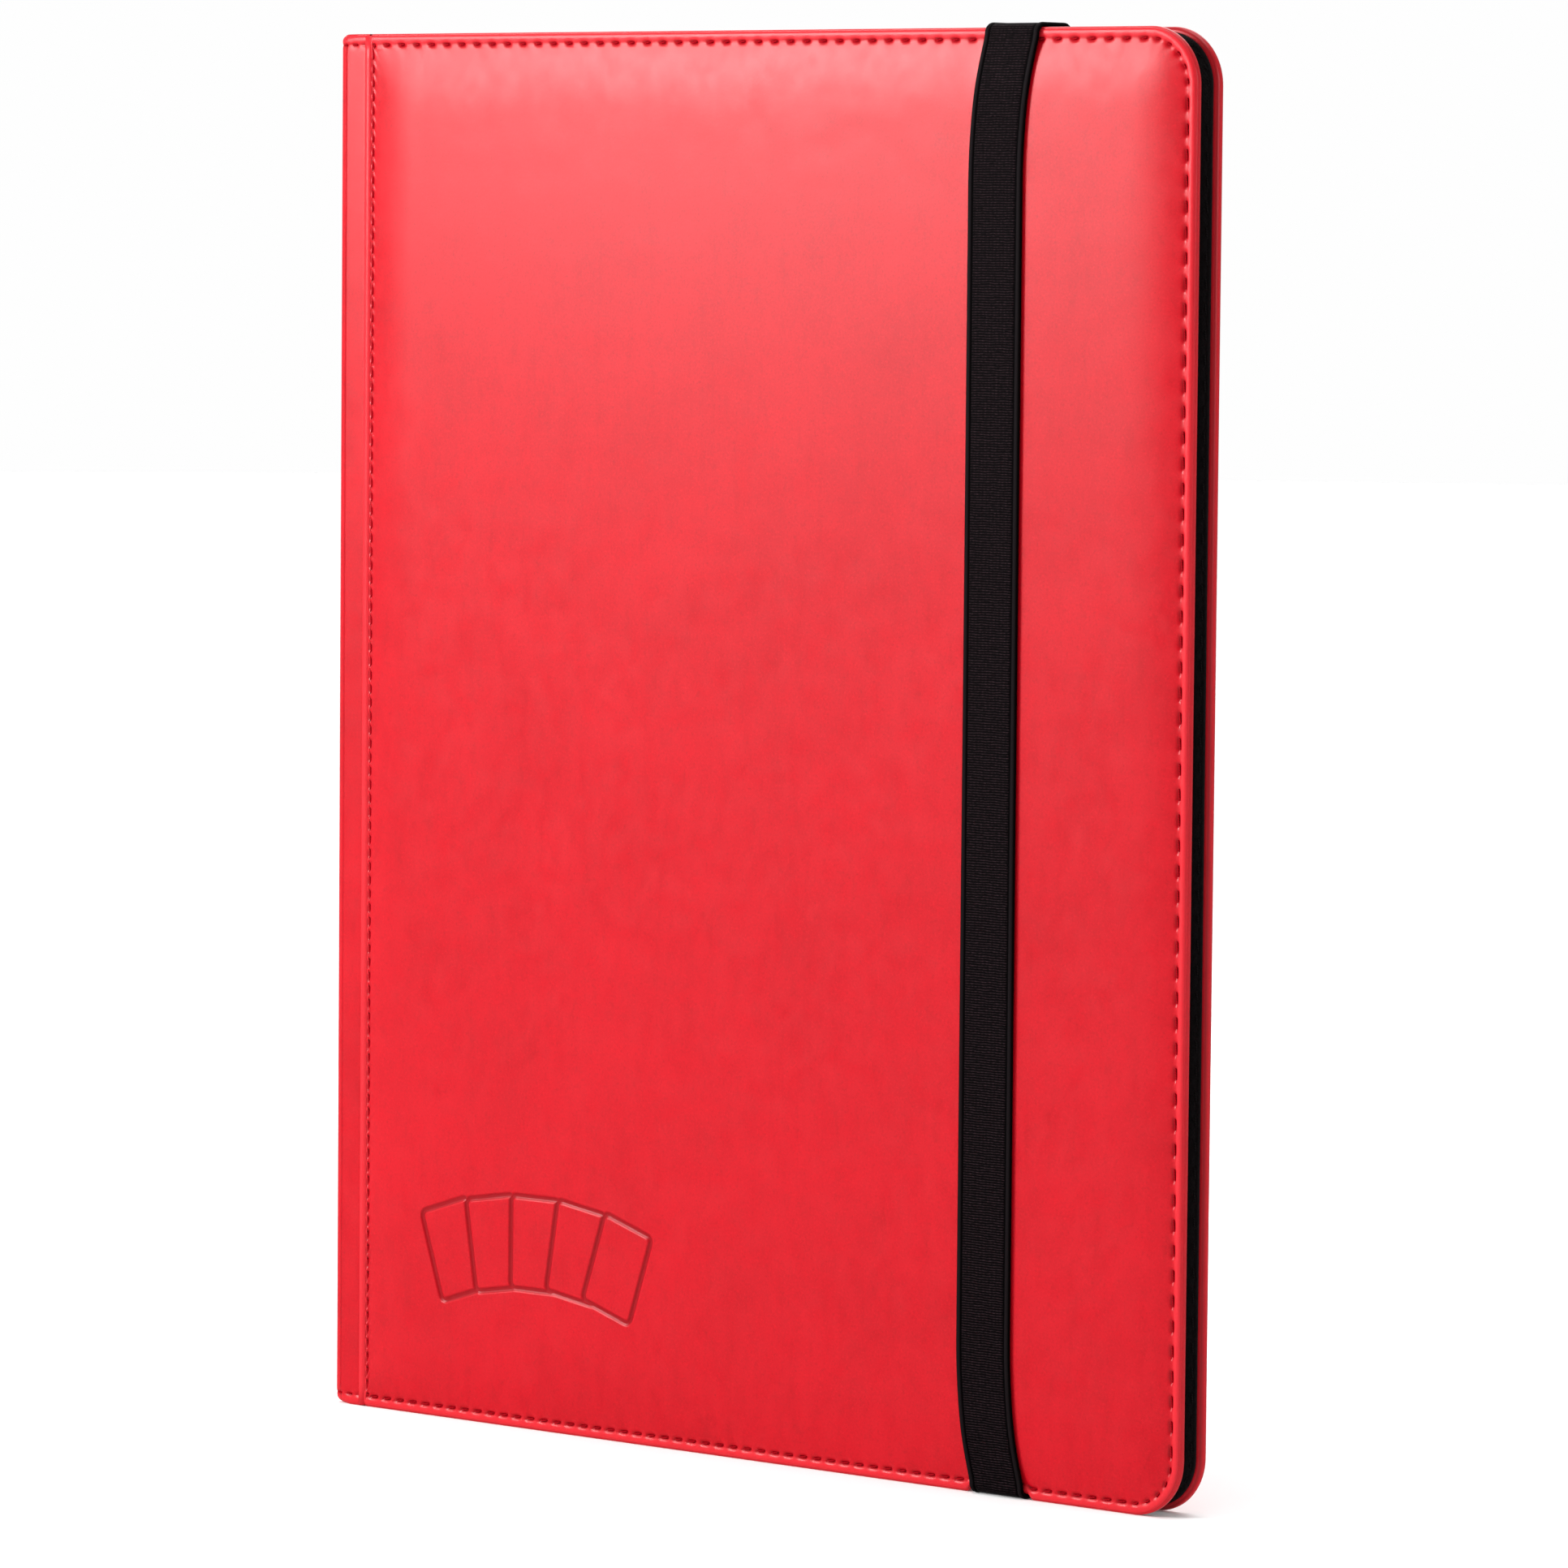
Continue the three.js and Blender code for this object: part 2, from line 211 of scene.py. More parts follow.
def rgb(r, g, b):
    """A linear colour from display values of 0 to 255."""

    def channel(v):
        v /= 255
        return v / 12.92 if v <= 0.04045 else ((v + 0.055) / 1.055) ** 2.4

    return (channel(r), channel(g), channel(b), 1.0)


def leather(name):
    """Smooth red artificial leather: cloudy colour, fine grain and a satin surface."""
    n = Nodes(name)
    at = n.place()
    tall = n.place((1, 1, 0.3))
    cloud = n.noise(at, 0.035, 4, 0.6)
    blotch = n.noise(at, 0.16, 5, 0.7)
    dapple = n.noise(at, 0.55, 3, 0.6)
    streak = n.noise(tall, 0.30, 3, 0.6)
    speck = n.noise(at, 1.7, 2, 0.7)
    tone = n.mix(n.remap(cloud, 0.32, 0.68), rgb(177, 1, 20), rgb(188, 2, 23))
    tone = n.mix(n.remap(blotch, 0.40, 0.75, 0, 0.45), tone, rgb(194, 10, 26))
    tone = n.mix(n.remap(dapple, 0.45, 0.25, 0, 0.35), tone, rgb(158, 1, 14))
    tone = n.mix(n.remap(streak, 0.50, 0.75, 0, 0.35), tone, rgb(194, 9, 26))
    tone = n.mix(n.remap(streak, 0.45, 0.25, 0, 0.35), tone, rgb(158, 1, 14))
    tone = n.mix(n.remap(speck, 0.54, 0.74, 0, 0.55), tone, rgb(204, 20, 34))
    tone = n.mix(n.remap(speck, 0.44, 0.24, 0, 0.60), tone, rgb(150, 1, 13))
    # Lighter on the rim's rounded edge, the side walls and the seam's ridge: partly stretched, lighter
    # leather and partly a painted highlight where these edges catch the light.
    tone = n.mix(n.attribute("rim_highlight_and_stretch"), tone, rgb(226, 46, 56))
    # Darker in the stitch dips, the crease under the rim, under the turned-in edge, in the sign's
    # grooves and inside the spine: painted shade.
    tone = n.mix(n.attribute("painted_shade"), tone, rgb(138, 0, 13))
    grain = n.voronoi(at, 1.9, "SMOOTH_F1")
    pores = n.noise(at, 5.0, 3, 0.6)
    soft = n.noise(at, 0.12, 3, 0.5)
    normal = n.bump(soft, 0.10, 0.6)
    normal = n.bump(grain, 0.020, 0.4, normal)
    normal = n.bump(pores, 0.012, 0.4, normal)
    rough = n.remap(n.noise(at, 0.22, 4, 0.6), 0.3, 0.7, 0.30, 0.38)
    return n.finish(
        Base_Color=tone,
        Roughness=rough,
        Normal=normal,
        Specular_IOR_Level=0.26,
    )


def thread(name, dark, light):
    """Twisted thread: a fine oblique stripe along each stitch."""
    n = Nodes(name)
    along = n.add("ShaderNodeCombineXYZ", {"X": n.attribute("twist")}).outputs[0]
    ply = n.add(
        "ShaderNodeTexWave",
        {"Vector": along, "Scale": 1.0, "Distortion": 0.6, "Detail": 1.0},
        wave_type="BANDS",
    )
    fuzz = n.noise(n.place(), 6.0, 2, 0.6)
    tone = n.mix(ply.outputs["Fac"], dark, light)
    tone = n.mix(n.remap(fuzz, 0.4, 0.7, 0, 0.25), tone, dark)
    normal = n.bump(ply.outputs["Fac"], 0.05, 0.7)
    return n.finish(Base_Color=tone, Roughness=0.75, Normal=normal, Specular_IOR_Level=0.06)


def cloth(name, dark, light):
    """Fine plain-weave lining cloth."""
    n = Nodes(name)
    at = n.place()
    weave = n.math("MULTIPLY", n.wave(n.axis(at, "X"), 0.90), n.wave(n.axis(at, "Z"), 0.90))
    fibre = n.noise(n.place((1, 1, 0.3)), 3.2, 3, 0.65)
    wear = n.noise(at, 0.05, 3, 0.5)
    tone = n.mix(n.remap(fibre, 0.3, 0.7), dark, light)
    tone = n.mix(n.remap(wear, 0.4, 0.7, 0, 0.3), tone, light)
    tone = n.mix(n.remap(weave, -1, 1, 0, 0.25), tone, dark)
    normal = n.bump(weave, 0.05, 0.6)
    normal = n.bump(fibre, 0.04, 0.5, normal)
    return n.finish(Base_Color=tone, Roughness=0.85, Normal=normal, Specular_IOR_Level=0.2)


def elastic(name):
    """Black woven elastic: cross ribs, lengthwise cords and two smooth raised edges."""
    n = Nodes(name)
    across = n.attribute("across")
    along = n.attribute("along")
    drift = n.noise(n.place(), 0.35, 3, 0.6)
    uneven = n.noise(n.place(), 1.3, 3, 0.7)
    fuzz = n.noise(n.place(), 6.0, 3, 0.7)
    run = n.math("ADD", along, n.math("MULTIPLY", drift, 0.5))
    rib = n.wave(run, 0.60)
    cord = n.wave(across, 1.05)
    knot = n.math("MULTIPLY", rib, n.remap(cord, -1, 1, 0.45, 1.0))
    inside = n.remap(n.math("ABSOLUTE", across), 6.15, 5.95)
    weave = n.math("MULTIPLY", n.remap(knot, -0.2, 0.9), inside)
    # The ribs' tops are lighter and the valleys between them stay near black: a painted highlight on
    # the ribs and painted shade in the valleys, over black yarn.
    lit_ribs = n.math("MULTIPLY", weave, n.remap(uneven, 0.38, 0.66, 0.15, 1.0))
    tone = n.mix(lit_ribs, rgb(2, 0, 1), rgb(50, 34, 39))
    tone = n.mix(n.remap(fuzz, 0.58, 0.8, 0, 0.3), tone, rgb(34, 27, 29))
    tone = n.mix(n.attribute("ridge"), tone, rgb(20, 15, 17))
    normal = n.bump(weave, 0.12, 0.9)
    normal = n.bump(fuzz, 0.04, 0.6, normal)
    return n.finish(
        Base_Color=tone,
        Roughness=0.62,
        Normal=normal,
        Specular_IOR_Level=0.04,
    )


def film(name):
    """Black backing under clear pocket film, with matt welds between the pockets."""
    n = Nodes(name)
    at = n.place()
    pocket = n.attribute("pocket")
    ripple = n.noise(at, 0.06, 2, 0.5)
    dust = n.noise(at, 1.6, 3, 0.7)
    tone = n.mix(pocket, rgb(11, 10, 12), rgb(6, 6, 8))
    tone = n.mix(n.remap(dust, 0.6, 0.8, 0, 0.25), tone, rgb(44, 43, 46))
    knurl = n.math("MULTIPLY", n.wave(n.axis(at, "X"), 1.1), n.wave(n.axis(at, "Z"), 1.1))
    knurl = n.math("MULTIPLY", knurl, n.math("SUBTRACT", 1.0, pocket))
    normal = n.bump(ripple, 0.9, 0.35)
    normal = n.bump(knurl, 0.08, 0.6, normal)
    rough = n.mix(pocket, (0.55, 0.55, 0.55, 1), (0.16, 0.16, 0.16, 1))
    return n.finish(Base_Color=tone, Roughness=rough, Normal=normal, Coat_Weight=0.15)


def board(name):
    """Pressed grey board with fibres."""
    n = Nodes(name)
    at = n.place()
    fibre = n.noise(n.place((1, 1, 0.4)), 1.2, 5, 0.7)
    fleck = n.noise(at, 3.5, 2, 0.7)
    tone = n.mix(n.remap(fibre, 0.3, 0.7), rgb(128, 124, 115), rgb(176, 171, 160))
    tone = n.mix(n.remap(fleck, 0.65, 0.8, 0, 0.6), tone, rgb(82, 78, 72))
    return n.finish(Base_Color=tone, Roughness=0.9, Normal=n.bump(fibre, 0.1, 0.6))


def foam(name):
    """Open soft padding."""
    n = Nodes(name)
    at = n.place()
    cell = n.voronoi(at, 1.4)
    shade = n.noise(at, 0.2, 3, 0.6)
    tone = n.mix(n.remap(cell, 0.0, 0.6), rgb(190, 186, 178), rgb(226, 223, 216))
    tone = n.mix(n.remap(shade, 0.4, 0.7, 0, 0.3), tone, rgb(204, 199, 188))
    return n.finish(Base_Color=tone, Roughness=0.95, Normal=n.bump(cell, 0.25, 0.7))


def moulded(name):
    """Matt black moulded plastic."""
    n = Nodes(name)
    at = n.place()
    grain = n.noise(at, 2.6, 4, 0.65)
    scuff = n.noise(n.place((1, 1, 0.1)), 0.5, 3, 0.6)
    tone = n.mix(n.remap(scuff, 0.5, 0.8, 0, 0.5), rgb(22, 21, 23), rgb(48, 46, 48))
    rough = n.remap(grain, 0.3, 0.7, 0.42, 0.6)
    return n.finish(Base_Color=tone, Roughness=rough, Normal=n.bump(grain, 0.03, 0.5))


RED = leather("red_leather")
RED_THREAD = thread("red_thread", rgb(128, 1, 13), rgb(176, 5, 24))
GREY_THREAD = thread("lining_thread", rgb(14, 12, 13), rgb(38, 33, 34))
BLACK_THREAD = thread("black_thread", rgb(12, 11, 12), rgb(60, 56, 58))
LINING = cloth("lining_cloth", rgb(19, 16, 17), rgb(38, 32, 34))
ELASTIC = elastic("black_elastic")
FILM = film("pocket_film")
BOARD = board("grey_board")
FOAM = foam("soft_padding")
MOULDED = moulded("binding_plastic")


# ---------------------------------------------------------------- mesh helpers
def make(name, points, faces, material, attributes=None):
    """A mesh object from points in millimetres."""
    mesh = bpy.data.meshes.new(name)
    mesh.from_pydata((np.asarray(points, float) * MM).tolist(), [], faces)
    for key, values in (attributes or {}).items():
        layer = mesh.attributes.new(key, "FLOAT", "POINT")
        layer.data.foreach_set("value", np.asarray(values, np.float32))
    mesh.polygons.foreach_set("use_smooth", [True] * len(mesh.polygons))
    mesh.materials.append(material)
    mesh.update()
    obj = bpy.data.objects.new(name, mesh)
    bpy.context.scene.collection.objects.link(obj)
    return obj


def strips(rows, count, closed=True, offset=0):
    """Quads between consecutive rows of count points."""
    i = np.arange(count if closed else count - 1)
    j = (i + 1) % count
    faces = []
    for k in range(rows - 1):
        a, b = offset + k * count, offset + (k + 1) * count
        faces.append(np.stack([a + i, a + j, b + j, b + i], 1))
    return np.concatenate(faces).tolist()


def smoothstep(low, high, x):
    t = np.clip((np.asarray(x, float) - low) / (high - low), 0, 1)
    return t * t * (3 - 2 * t)


def path_length(points):
    """The distance along a path at each of its points."""
    return np.concatenate([[0], np.cumsum(np.linalg.norm(np.diff(points, axis=0), axis=1))])


def unit_tangent(points):
    tangent = np.gradient(points, axis=0)
    return tangent / np.linalg.norm(tangent, axis=1)[:, None]


# ---------------------------------------------------------------- cover outline
def seam_inset(d):
    """The stitched edge is narrower along the seam than along the free edges."""
    return d * 0.45 if d < 3.6 else 1.62 + (d - 3.6) * 0.70


# How many points lie along each edge and each corner of the outline
STEP = 0.45
ALONG = int((RIGHT - SEAM_SIDE - FORE_RADIUS) / STEP)
FORE = int((HEIGHT - 2 * FORE_RADIUS) / STEP)
EDGE_COUNTS = (ALONG, 26, FORE, 26, ALONG, 5, int(HEIGHT / STEP), 5)


def outline(d):
    """The cover's outline at inset d, as x and z, anticlockwise from the bottom left."""
    x0, x1 = SEAM_SIDE + seam_inset(d), RIGHT - d
    z0, z1 = d, HEIGHT - d
    big, small = max(FORE_RADIUS - d, 5.0), 0.6
    corners = (
        (x1 - big, z0 + big, big, -90),
        (x1 - big, z1 - big, big, 0),
        (x0 + small, z1 - small, small, 90),
        (x0 + small, z0 + small, small, 180),
    )
    arcs = []
    for k, (cx, cz, r, a0) in enumerate(corners):
        a = np.radians(a0 + 90 * np.linspace(0, 1, EDGE_COUNTS[2 * k + 1]))
        arcs.append(np.stack([cx + r * np.cos(a), cz + r * np.sin(a)], 1))
    points = []
    for k in range(4):
        start, end = arcs[k - 1][-1], arcs[k][0]
        t = np.linspace(0, 1, EDGE_COUNTS[2 * k] + 2)[1:-1, None]
        points += [start + (end - start) * t, arcs[k]]
    return np.concatenate(points)


# The length of a stitch with its gap, and the share of it that is thread: along the bottom edge, its
# fore corner, the fore edge, the top fore corner, the top edge, a corner, the seam and the last corner
PITCHES = (4.3, 3.3, 5.8, 3.3, 4.9, 3.4, 3.4, 3.4)
SHARES = (0.62, 0.50, 0.56, 0.48, 0.42, 0.6, 0.66, 0.6)
STITCH_LINE = outline(STITCH)
steps = np.linalg.norm(np.roll(STITCH_LINE, -1, 0) - STITCH_LINE, axis=1)


def stitch_phase():
    """The stitch number at each point of the outline: whole at the start of each stitch."""
    edges = np.cumsum([0] + list(EDGE_COUNTS))
    phase = np.zeros(len(STITCH_LINE) + 1)
    share = np.zeros(len(STITCH_LINE) + 1)
    for k in range(len(EDGE_COUNTS)):
        part = steps[edges[k] : edges[k + 1]]
        whole = max(1, round(part.sum() / PITCHES[k]))
        at = phase[edges[k]]
        phase[edges[k] + 1 : edges[k + 1] + 1] = at + np.cumsum(part) / part.sum() * whole
        share[edges[k] : edges[k + 1] + 1] = SHARES[k]
    return phase, share


PHASE, SHARE = stitch_phase()


def pull(phase, share):
    """How far the thread pulls the leather down: 1 along a stitch, 0 between two."""
    far = np.abs((phase - share / 2 + 0.5) % 1.0 - 0.5)
    return 1 - smoothstep(share / 2 - 0.13, share / 2 + 0.09, far)


# The edge of a padded cover, as (inset, height over the rim's plane), from inside to out
EDGE = [
    (1.60, -0.9),
    (1.60, -2.44),
    (1.30, -THICK),
    (0.80, 0.07 - THICK),
    (0.40, 0.28 - THICK),
    (0.12, -1.90),
    (0.00, -1.50),
    (0.00, -1.00),
    (0.04, -0.62),
    (0.15, -0.40),
    (0.31, -0.30),
    (0.45, -0.33),
    (0.58, -0.16),
    (0.80, -0.01),
    (1.10, 0.07),
    (1.45, 0.09),
    (1.80, 0.05),
    (2.05, -0.03),
    (2.28, -0.14),
    (2.48, -0.25),
    (2.70, -0.30),
    (2.92, -0.26),
    (3.18, -0.16),
    (3.50, -0.02),
]


def swell(d):
    """The panel's height over the rim's plane at inset d: steep at the stitches, then level."""
    return BULGE - PANEL_RISE * (np.maximum(SWELL - d, 0) / (SWELL - PANEL_EDGE)) ** 3


PANEL = (4.0, 4.7, 5.6, 6.8, 8.2, 9.8, 11.6, 13.6, 15.6, 17.6, 19.8, SWELL, SWELL + 2)
EDGE += [(inset, float(swell(inset))) for inset in PANEL]


def panel_height(plan, d):
    """The panel's height over the rim's plane at the points of the outline of inset d.

    Along the seam it rises more gently than along the free edges, and the two slopes merge.
    """
    x, z = plan.T
    by_seam = x < SEAM_SIDE + 40
    free = np.where(by_seam, np.minimum(z, HEIGHT - z), d)
    low = (BULGE - swell(free)) / PANEL_RISE
    along = np.clip(x - SEAM_SIDE - seam_inset(3.5), 0, SEAM_SWELL)
    low_seam = 0.93 * (1 - along / SEAM_SWELL) ** 2
    return BULGE - PANEL_RISE * (low + low_seam - low * low_seam)


def stand(plan, height, side):
    """Points of a cover: plan is x and z, height the distance out from the middle plane."""
    height = np.broadcast_to(height, len(plan))
    return np.stack([plan[:, 0], side * height, plan[:, 1]], 1)


def strap_press(plan):
    """How far the strap pushes the cover's bottom edge up at each point of it."""
    near = 1 - smoothstep(STRAP_W / 2 + 0.2, STRAP_W / 2 + 2.0, np.abs(plan[:, 0] - STRAP_END_X))
    return 1.35 * near * (1 - smoothstep(0.5, 6.0, plan[:, 1]))


def sign_depth(x, z):
    """How deep the sign is sunk at x, z: overlapping blank card outlines."""
    depth = np.zeros_like(x)
    hidden = np.zeros_like(x, bool)
    for i in range(SIGN_CARDS - 1, -1, -1):
        k = i - (SIGN_CARDS - 1) / 2
        a = math.radians(-SIGN_TILT * k)
        dx, dz = x - SIGN_X - SIGN_SPREAD * k, z - SIGN_Z + 0.9 * k * k
        u = np.abs(dx * math.cos(a) + dz * math.sin(a)) - (SIGN_W / 2 - SIGN_CORNER)
        v = np.abs(-dx * math.sin(a) + dz * math.cos(a)) - (SIGN_H / 2 - SIGN_CORNER)
        outside = np.hypot(np.maximum(u, 0), np.maximum(v, 0))
        distance = outside + np.minimum(np.maximum(u, v), 0) - SIGN_CORNER
        line = SIGN_LINE / 2 - np.abs(distance + SIGN_LINE / 2)
        here = smoothstep(-0.30, 0.30, line) * ~hidden
        depth = np.maximum(depth, here)
        hidden |= distance < 0
    return depth


def cover_leather(name, side, signed):
    """The leather of a cover, with its rounded rim, stitch valley and padded panel."""
    n = len(STITCH_LINE)
    pulled = pull(PHASE[:-1], SHARE[:-1])
    wave = 0.5 - 0.5 * np.cos((PHASE[:-1] - SHARE[:-1] / 2) * math.tau)
    rows, rim_highlight_and_stretch, painted_shade = [], [], []
    # 1 along the seam, where the edge lies flat against the spine's, and 0 elsewhere
    x, z = outline(0).T
    near_seam = (x < SEAM_SIDE + 1.0) * smoothstep(0.5, 4.0, np.minimum(z, HEIGHT - z))
    for d, h in EDGE:
        plan = outline(d)
        height = RIM + (h if d < PANEL[0] else panel_height(plan, d))
        height = np.broadcast_to(height, n).copy()
        if 0 < d < 2.3 and h > -0.7:
            height += near_seam * (-0.10 - 0.12 * (1 - d / 2.3) - h)
        width = 0.52 + 0.45 * near_seam
        valley = np.exp(-(((d - STITCH) / width) ** 2)) if h > -0.6 and d > 1 else 0.0
        height = height + valley * (0.24 * (1 - pulled) - 0.32 * pulled)
        if 3.1 < d < 7:
            height = height + 0.035 * (wave - 0.5) * (1 - (d - 3.1) / 4)
        plan = plan.copy()
        plan[:, 1] += strap_press(plan)
        rows.append(stand(plan, height, side))
        # The rim's top and the side wall get the lighter colour: partly stretched leather, partly a
        # painted highlight.
        rim_highlight_and_stretch.append(np.full(n, 0.55 * float(smoothstep(2.5, 1.9, d)) if d > 0.3 else 0.25))
        # Painted shade in the stitch dips and on the lower side wall and turned-in edge.
        painted_shade.append(0.85 * valley * pulled + (0.35 if h < -1.7 else 0.0))
        # Painted shade in the crease where the side wall meets the rim's top.
        if 0.3 < d < 0.5:
            painted_shade[-1] = painted_shade[-1] + 0.45 * (1 - near_seam)
    faces = strips(len(rows), n)
    points = np.concatenate(rows)
    rim_highlight_and_stretch = np.concatenate(rim_highlight_and_stretch)
    painted_shade = np.concatenate(painted_shade)
    faces += [t[::-1] for t in fill([outline(EDGE[0][0])])[1]]
    last = (len(rows) - 1) * n
    ring = outline(EDGE[-1][0])
    if signed:
        x = np.linspace(*SIGN_FROM_TO_X, 361)
        z = np.linspace(*SIGN_FROM_TO_Z, 156)
        gx, gz = np.meshgrid(x, z)
        depth = sign_depth(gx, gz)
        depth[[0, -1], :] = 0
        depth[:, [0, -1]] = 0
        grid = stand(np.stack([gx.ravel(), gz.ravel()], 1), PEAK - SIGN_DEPTH * depth.ravel(), side)
        start = len(points)
        points = np.concatenate([points, grid])
        rim_highlight_and_stretch = np.concatenate([rim_highlight_and_stretch, np.zeros(len(grid))])
        # Painted shade in the sign's grooves.
        painted_shade = np.concatenate([painted_shade, 0.85 * depth.ravel()])
        faces += strips(len(z), len(x), closed=False, offset=start)
        edge = (
            [(0, i) for i in range(len(x))]
            + [(j, len(x) - 1) for j in range(1, len(z))]
            + [(len(z) - 1, i) for i in range(len(x) - 2, -1, -1)]
            + [(j, 0) for j in range(len(z) - 2, 0, -1)]
        )
        index = list(range(last, last + n)) + [start + j * len(x) + i for j, i in edge]
        hole = np.array([(gx[j, i], gz[j, i]) for j, i in edge])
        loops = [ring, hole]
    else:
        index = list(range(last, last + n))
        loops = [ring]
    inside, triangles = fill(loops, 5.0)
    index += list(range(len(points), len(points) + len(inside)))
    points = np.concatenate([points, stand(inside, PEAK, side)])
    rim_highlight_and_stretch = np.concatenate([rim_highlight_and_stretch, np.zeros(len(inside))])
    painted_shade = np.concatenate([painted_shade, np.zeros(len(inside))])
    faces += [[index[c] for c in t] for t in triangles]
    if side > 0:
        faces = [f[::-1] for f in faces]
    return make(name, points, faces, RED, {"rim_highlight_and_stretch": rim_highlight_and_stretch, "painted_shade": np.clip(painted_shade, 0, 1)})


def fill(loops, grid=0.0):
    """Triangles, anticlockwise in x and z, that fill the first loop round the second.

    With a grid spacing, more points are spread inside. Returns those points and the triangles.
    """
    outer = np.asarray(loops[0])
    ends = np.cumsum([0] + [len(loop) for loop in loops])
    inside = np.zeros((0, 2))
    if grid:
        lo, hi = outer.min(0), outer.max(0)
        inset = 0.8 * grid
        count = np.maximum(2, ((hi - lo - 2 * inset) / grid).astype(int))
        x = np.linspace(lo[0] + inset, hi[0] - inset, count[0])
        z = np.linspace(lo[1] + inset, hi[1] - inset, count[1])
        inside = np.stack(np.meshgrid(x, z), -1).reshape(-1, 2)
        for loop in loops[1:]:
            low, high = np.min(loop, 0) - grid / 2, np.max(loop, 0) + grid / 2
            inside = inside[((inside < low) | (inside > high)).any(1)]
        away = np.abs(inside - (lo + hi) / 2) - ((hi - lo) / 2 - 10)
        inside = inside[~((away > 0).all(1) & (np.hypot(*np.maximum(away, 0).T) > 9))]
    points = np.concatenate([np.asarray(loop) for loop in loops] + [inside])
    edges = []
    for a, b in zip(ends, ends[1:]):
        edges += [(i, a + (i + 1 - a) % (b - a)) for i in range(a, b)]
    found = delaunay_2d_cdt([Vector(p) for p in points], edges, [], 1, 1e-7)
    out = []
    for t in found[2]:
        t = [found[3][i][0] for i in t]
        corners = points[t]
        middle = corners.mean(0)
        if any((np.min(h, 0) < middle).all() and (middle < np.max(h, 0)).all() for h in loops[1:]):
            continue
        (ax, az), (bx, bz), (cx, cz) = corners
        turned = (bx - ax) * (cz - az) - (bz - az) * (cx - ax)
        if abs(turned) > 1e-7:
            out.append(t if turned > 0 else t[::-1])
    return inside, out


# ---------------------------------------------------------------- stitches
def tubes(name, paths, radii, material, sides=6):
    """Short stitches: each path is points in millimetres, tapering at both ends."""
    points, faces, twist = [], [], []
    for path, radius in zip(paths, np.broadcast_to(radii, len(paths))):
        path = np.asarray(path, float)
        m = len(path)
        tangent = unit_tangent(path)
        guide = np.where(np.abs(tangent[:, :1]) > 0.9, [[0, 0, 1.0]], [[1.0, 0, 0]])
        u = np.cross(tangent, guide)
        u /= np.linalg.norm(u, axis=1)[:, None]
        v = np.cross(tangent, u)
        taper = radius * np.sqrt(np.clip(1 - np.abs(np.linspace(-1, 1, m)) ** 6, 0.12, 1))
        a = np.arange(sides) * math.tau / sides
        ring = np.cos(a)[None, :, None] * u[:, None] + np.sin(a)[None, :, None] * v[:, None]
        start = sum(len(p) for p in points)
        points.append((path[:, None] + taper[:, None, None] * ring).reshape(-1, 3))
        faces += strips(m, sides, offset=start)
        faces.append([start + i for i in range(sides)][::-1])
        faces.append([start + (m - 1) * sides + i for i in range(sides)])
        twist.append((path_length(path)[:, None] * 0.55 + a[None, :] * 0.05).ravel())
    return make(name, np.concatenate(points), faces, material, {"twist": np.concatenate(twist)})


def cover_stitches(name, side, height, lift, material):
    """The stitches round a cover. height is where they lie, out from the middle plane."""
    ends = [outline(STITCH + slant) for slant in (-0.16, 0.16)]
    ends = [np.concatenate([line, line[:1]]) for line in ends]
    paths, radii = [], []
    for k in range(int(round(PHASE[-1]))):
        share = float(np.interp(k + 0.3, PHASE, SHARE))
        phase = k + share * np.linspace(0, 1, 9)
        first, last = (
            np.stack([np.interp(phase, PHASE, line[:, i]) for i in (0, 1)], 1) for line in ends
        )
        plan = first + (last - first) * np.linspace(0, 1, 9)[:, None]
        if plan[:, 1].min() < 5 and np.abs(plan[:, 0] - STRAP_END_X).min() < STRAP_W / 2:
            continue
        t = np.linspace(-1, 1, 9)
        rise = height + lift * (1 - 3.2 * t**8 - 0.25 * t * t)
        paths.append(stand(plan, rise, side))
        radii.append(SEAM_THREAD if plan[:, 0].max() < SEAM_SIDE + 2 else COVER_THREAD)
    return tubes(name, paths, radii, material)


# ---------------------------------------------------------------- covers
def cover_lining(name, side):
    """The lining of a cover: a thin cloth panel sewn down inside its edge."""
    levels = (
        (1.75, -1.95),
        (1.30, -2.30),
        (1.22, -2.44),
        (1.35, -2.55),
        (1.70, -2.58),
        (2.20, -2.54),
        (2.50, -2.46),
        (2.70, -2.42),
        (2.90, -2.46),
        (3.20, -2.52),
        (3.80, -2.55),
        (6.00, -2.56),
        (16.0, -2.56),
    )
    n = len(STITCH_LINE)
    rows = []
    for d, h in levels:
        plan = outline(d).copy()
        plan[:, 1] += strap_press(plan)
        rows.append(stand(plan, np.full(n, RIM + h), side))
    faces = [f[::-1] for f in strips(len(rows), n)]
    faces += fill([outline(levels[0][0])])[1]
    inside, triangles = fill([outline(levels[-1][0])], 6.0)
    index = list(range((len(rows) - 1) * n, len(rows) * n + len(inside)))
    rows.append(stand(inside, RIM + levels[-1][1], side))
    faces += [[index[c] for c in t][::-1] for t in triangles]
    if side > 0:
        faces = [f[::-1] for f in faces]
    return make(name, np.concatenate(rows), faces, LINING)


for word, side in (("front", -1), ("back", 1)):
    body = word + "_cover"
    piece = cover_leather(word + "_cover_leather", side, side < 0)
    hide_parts(word + "_leather")
    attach(piece, body)
    piece = cover_stitches(word + "_cover_stitches", side, RIM - 0.50, 0.14, RED_THREAD)
    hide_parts(word + "_stitch_line")
    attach(piece, body)
    piece = cover_lining(word + "_cover_lining", side)
    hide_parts(word + "_lining")
    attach(piece, body)
    piece = cover_stitches(word + "_lining_stitches", side, INNER + 0.10, -0.14, GREY_THREAD)
    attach(piece, body)


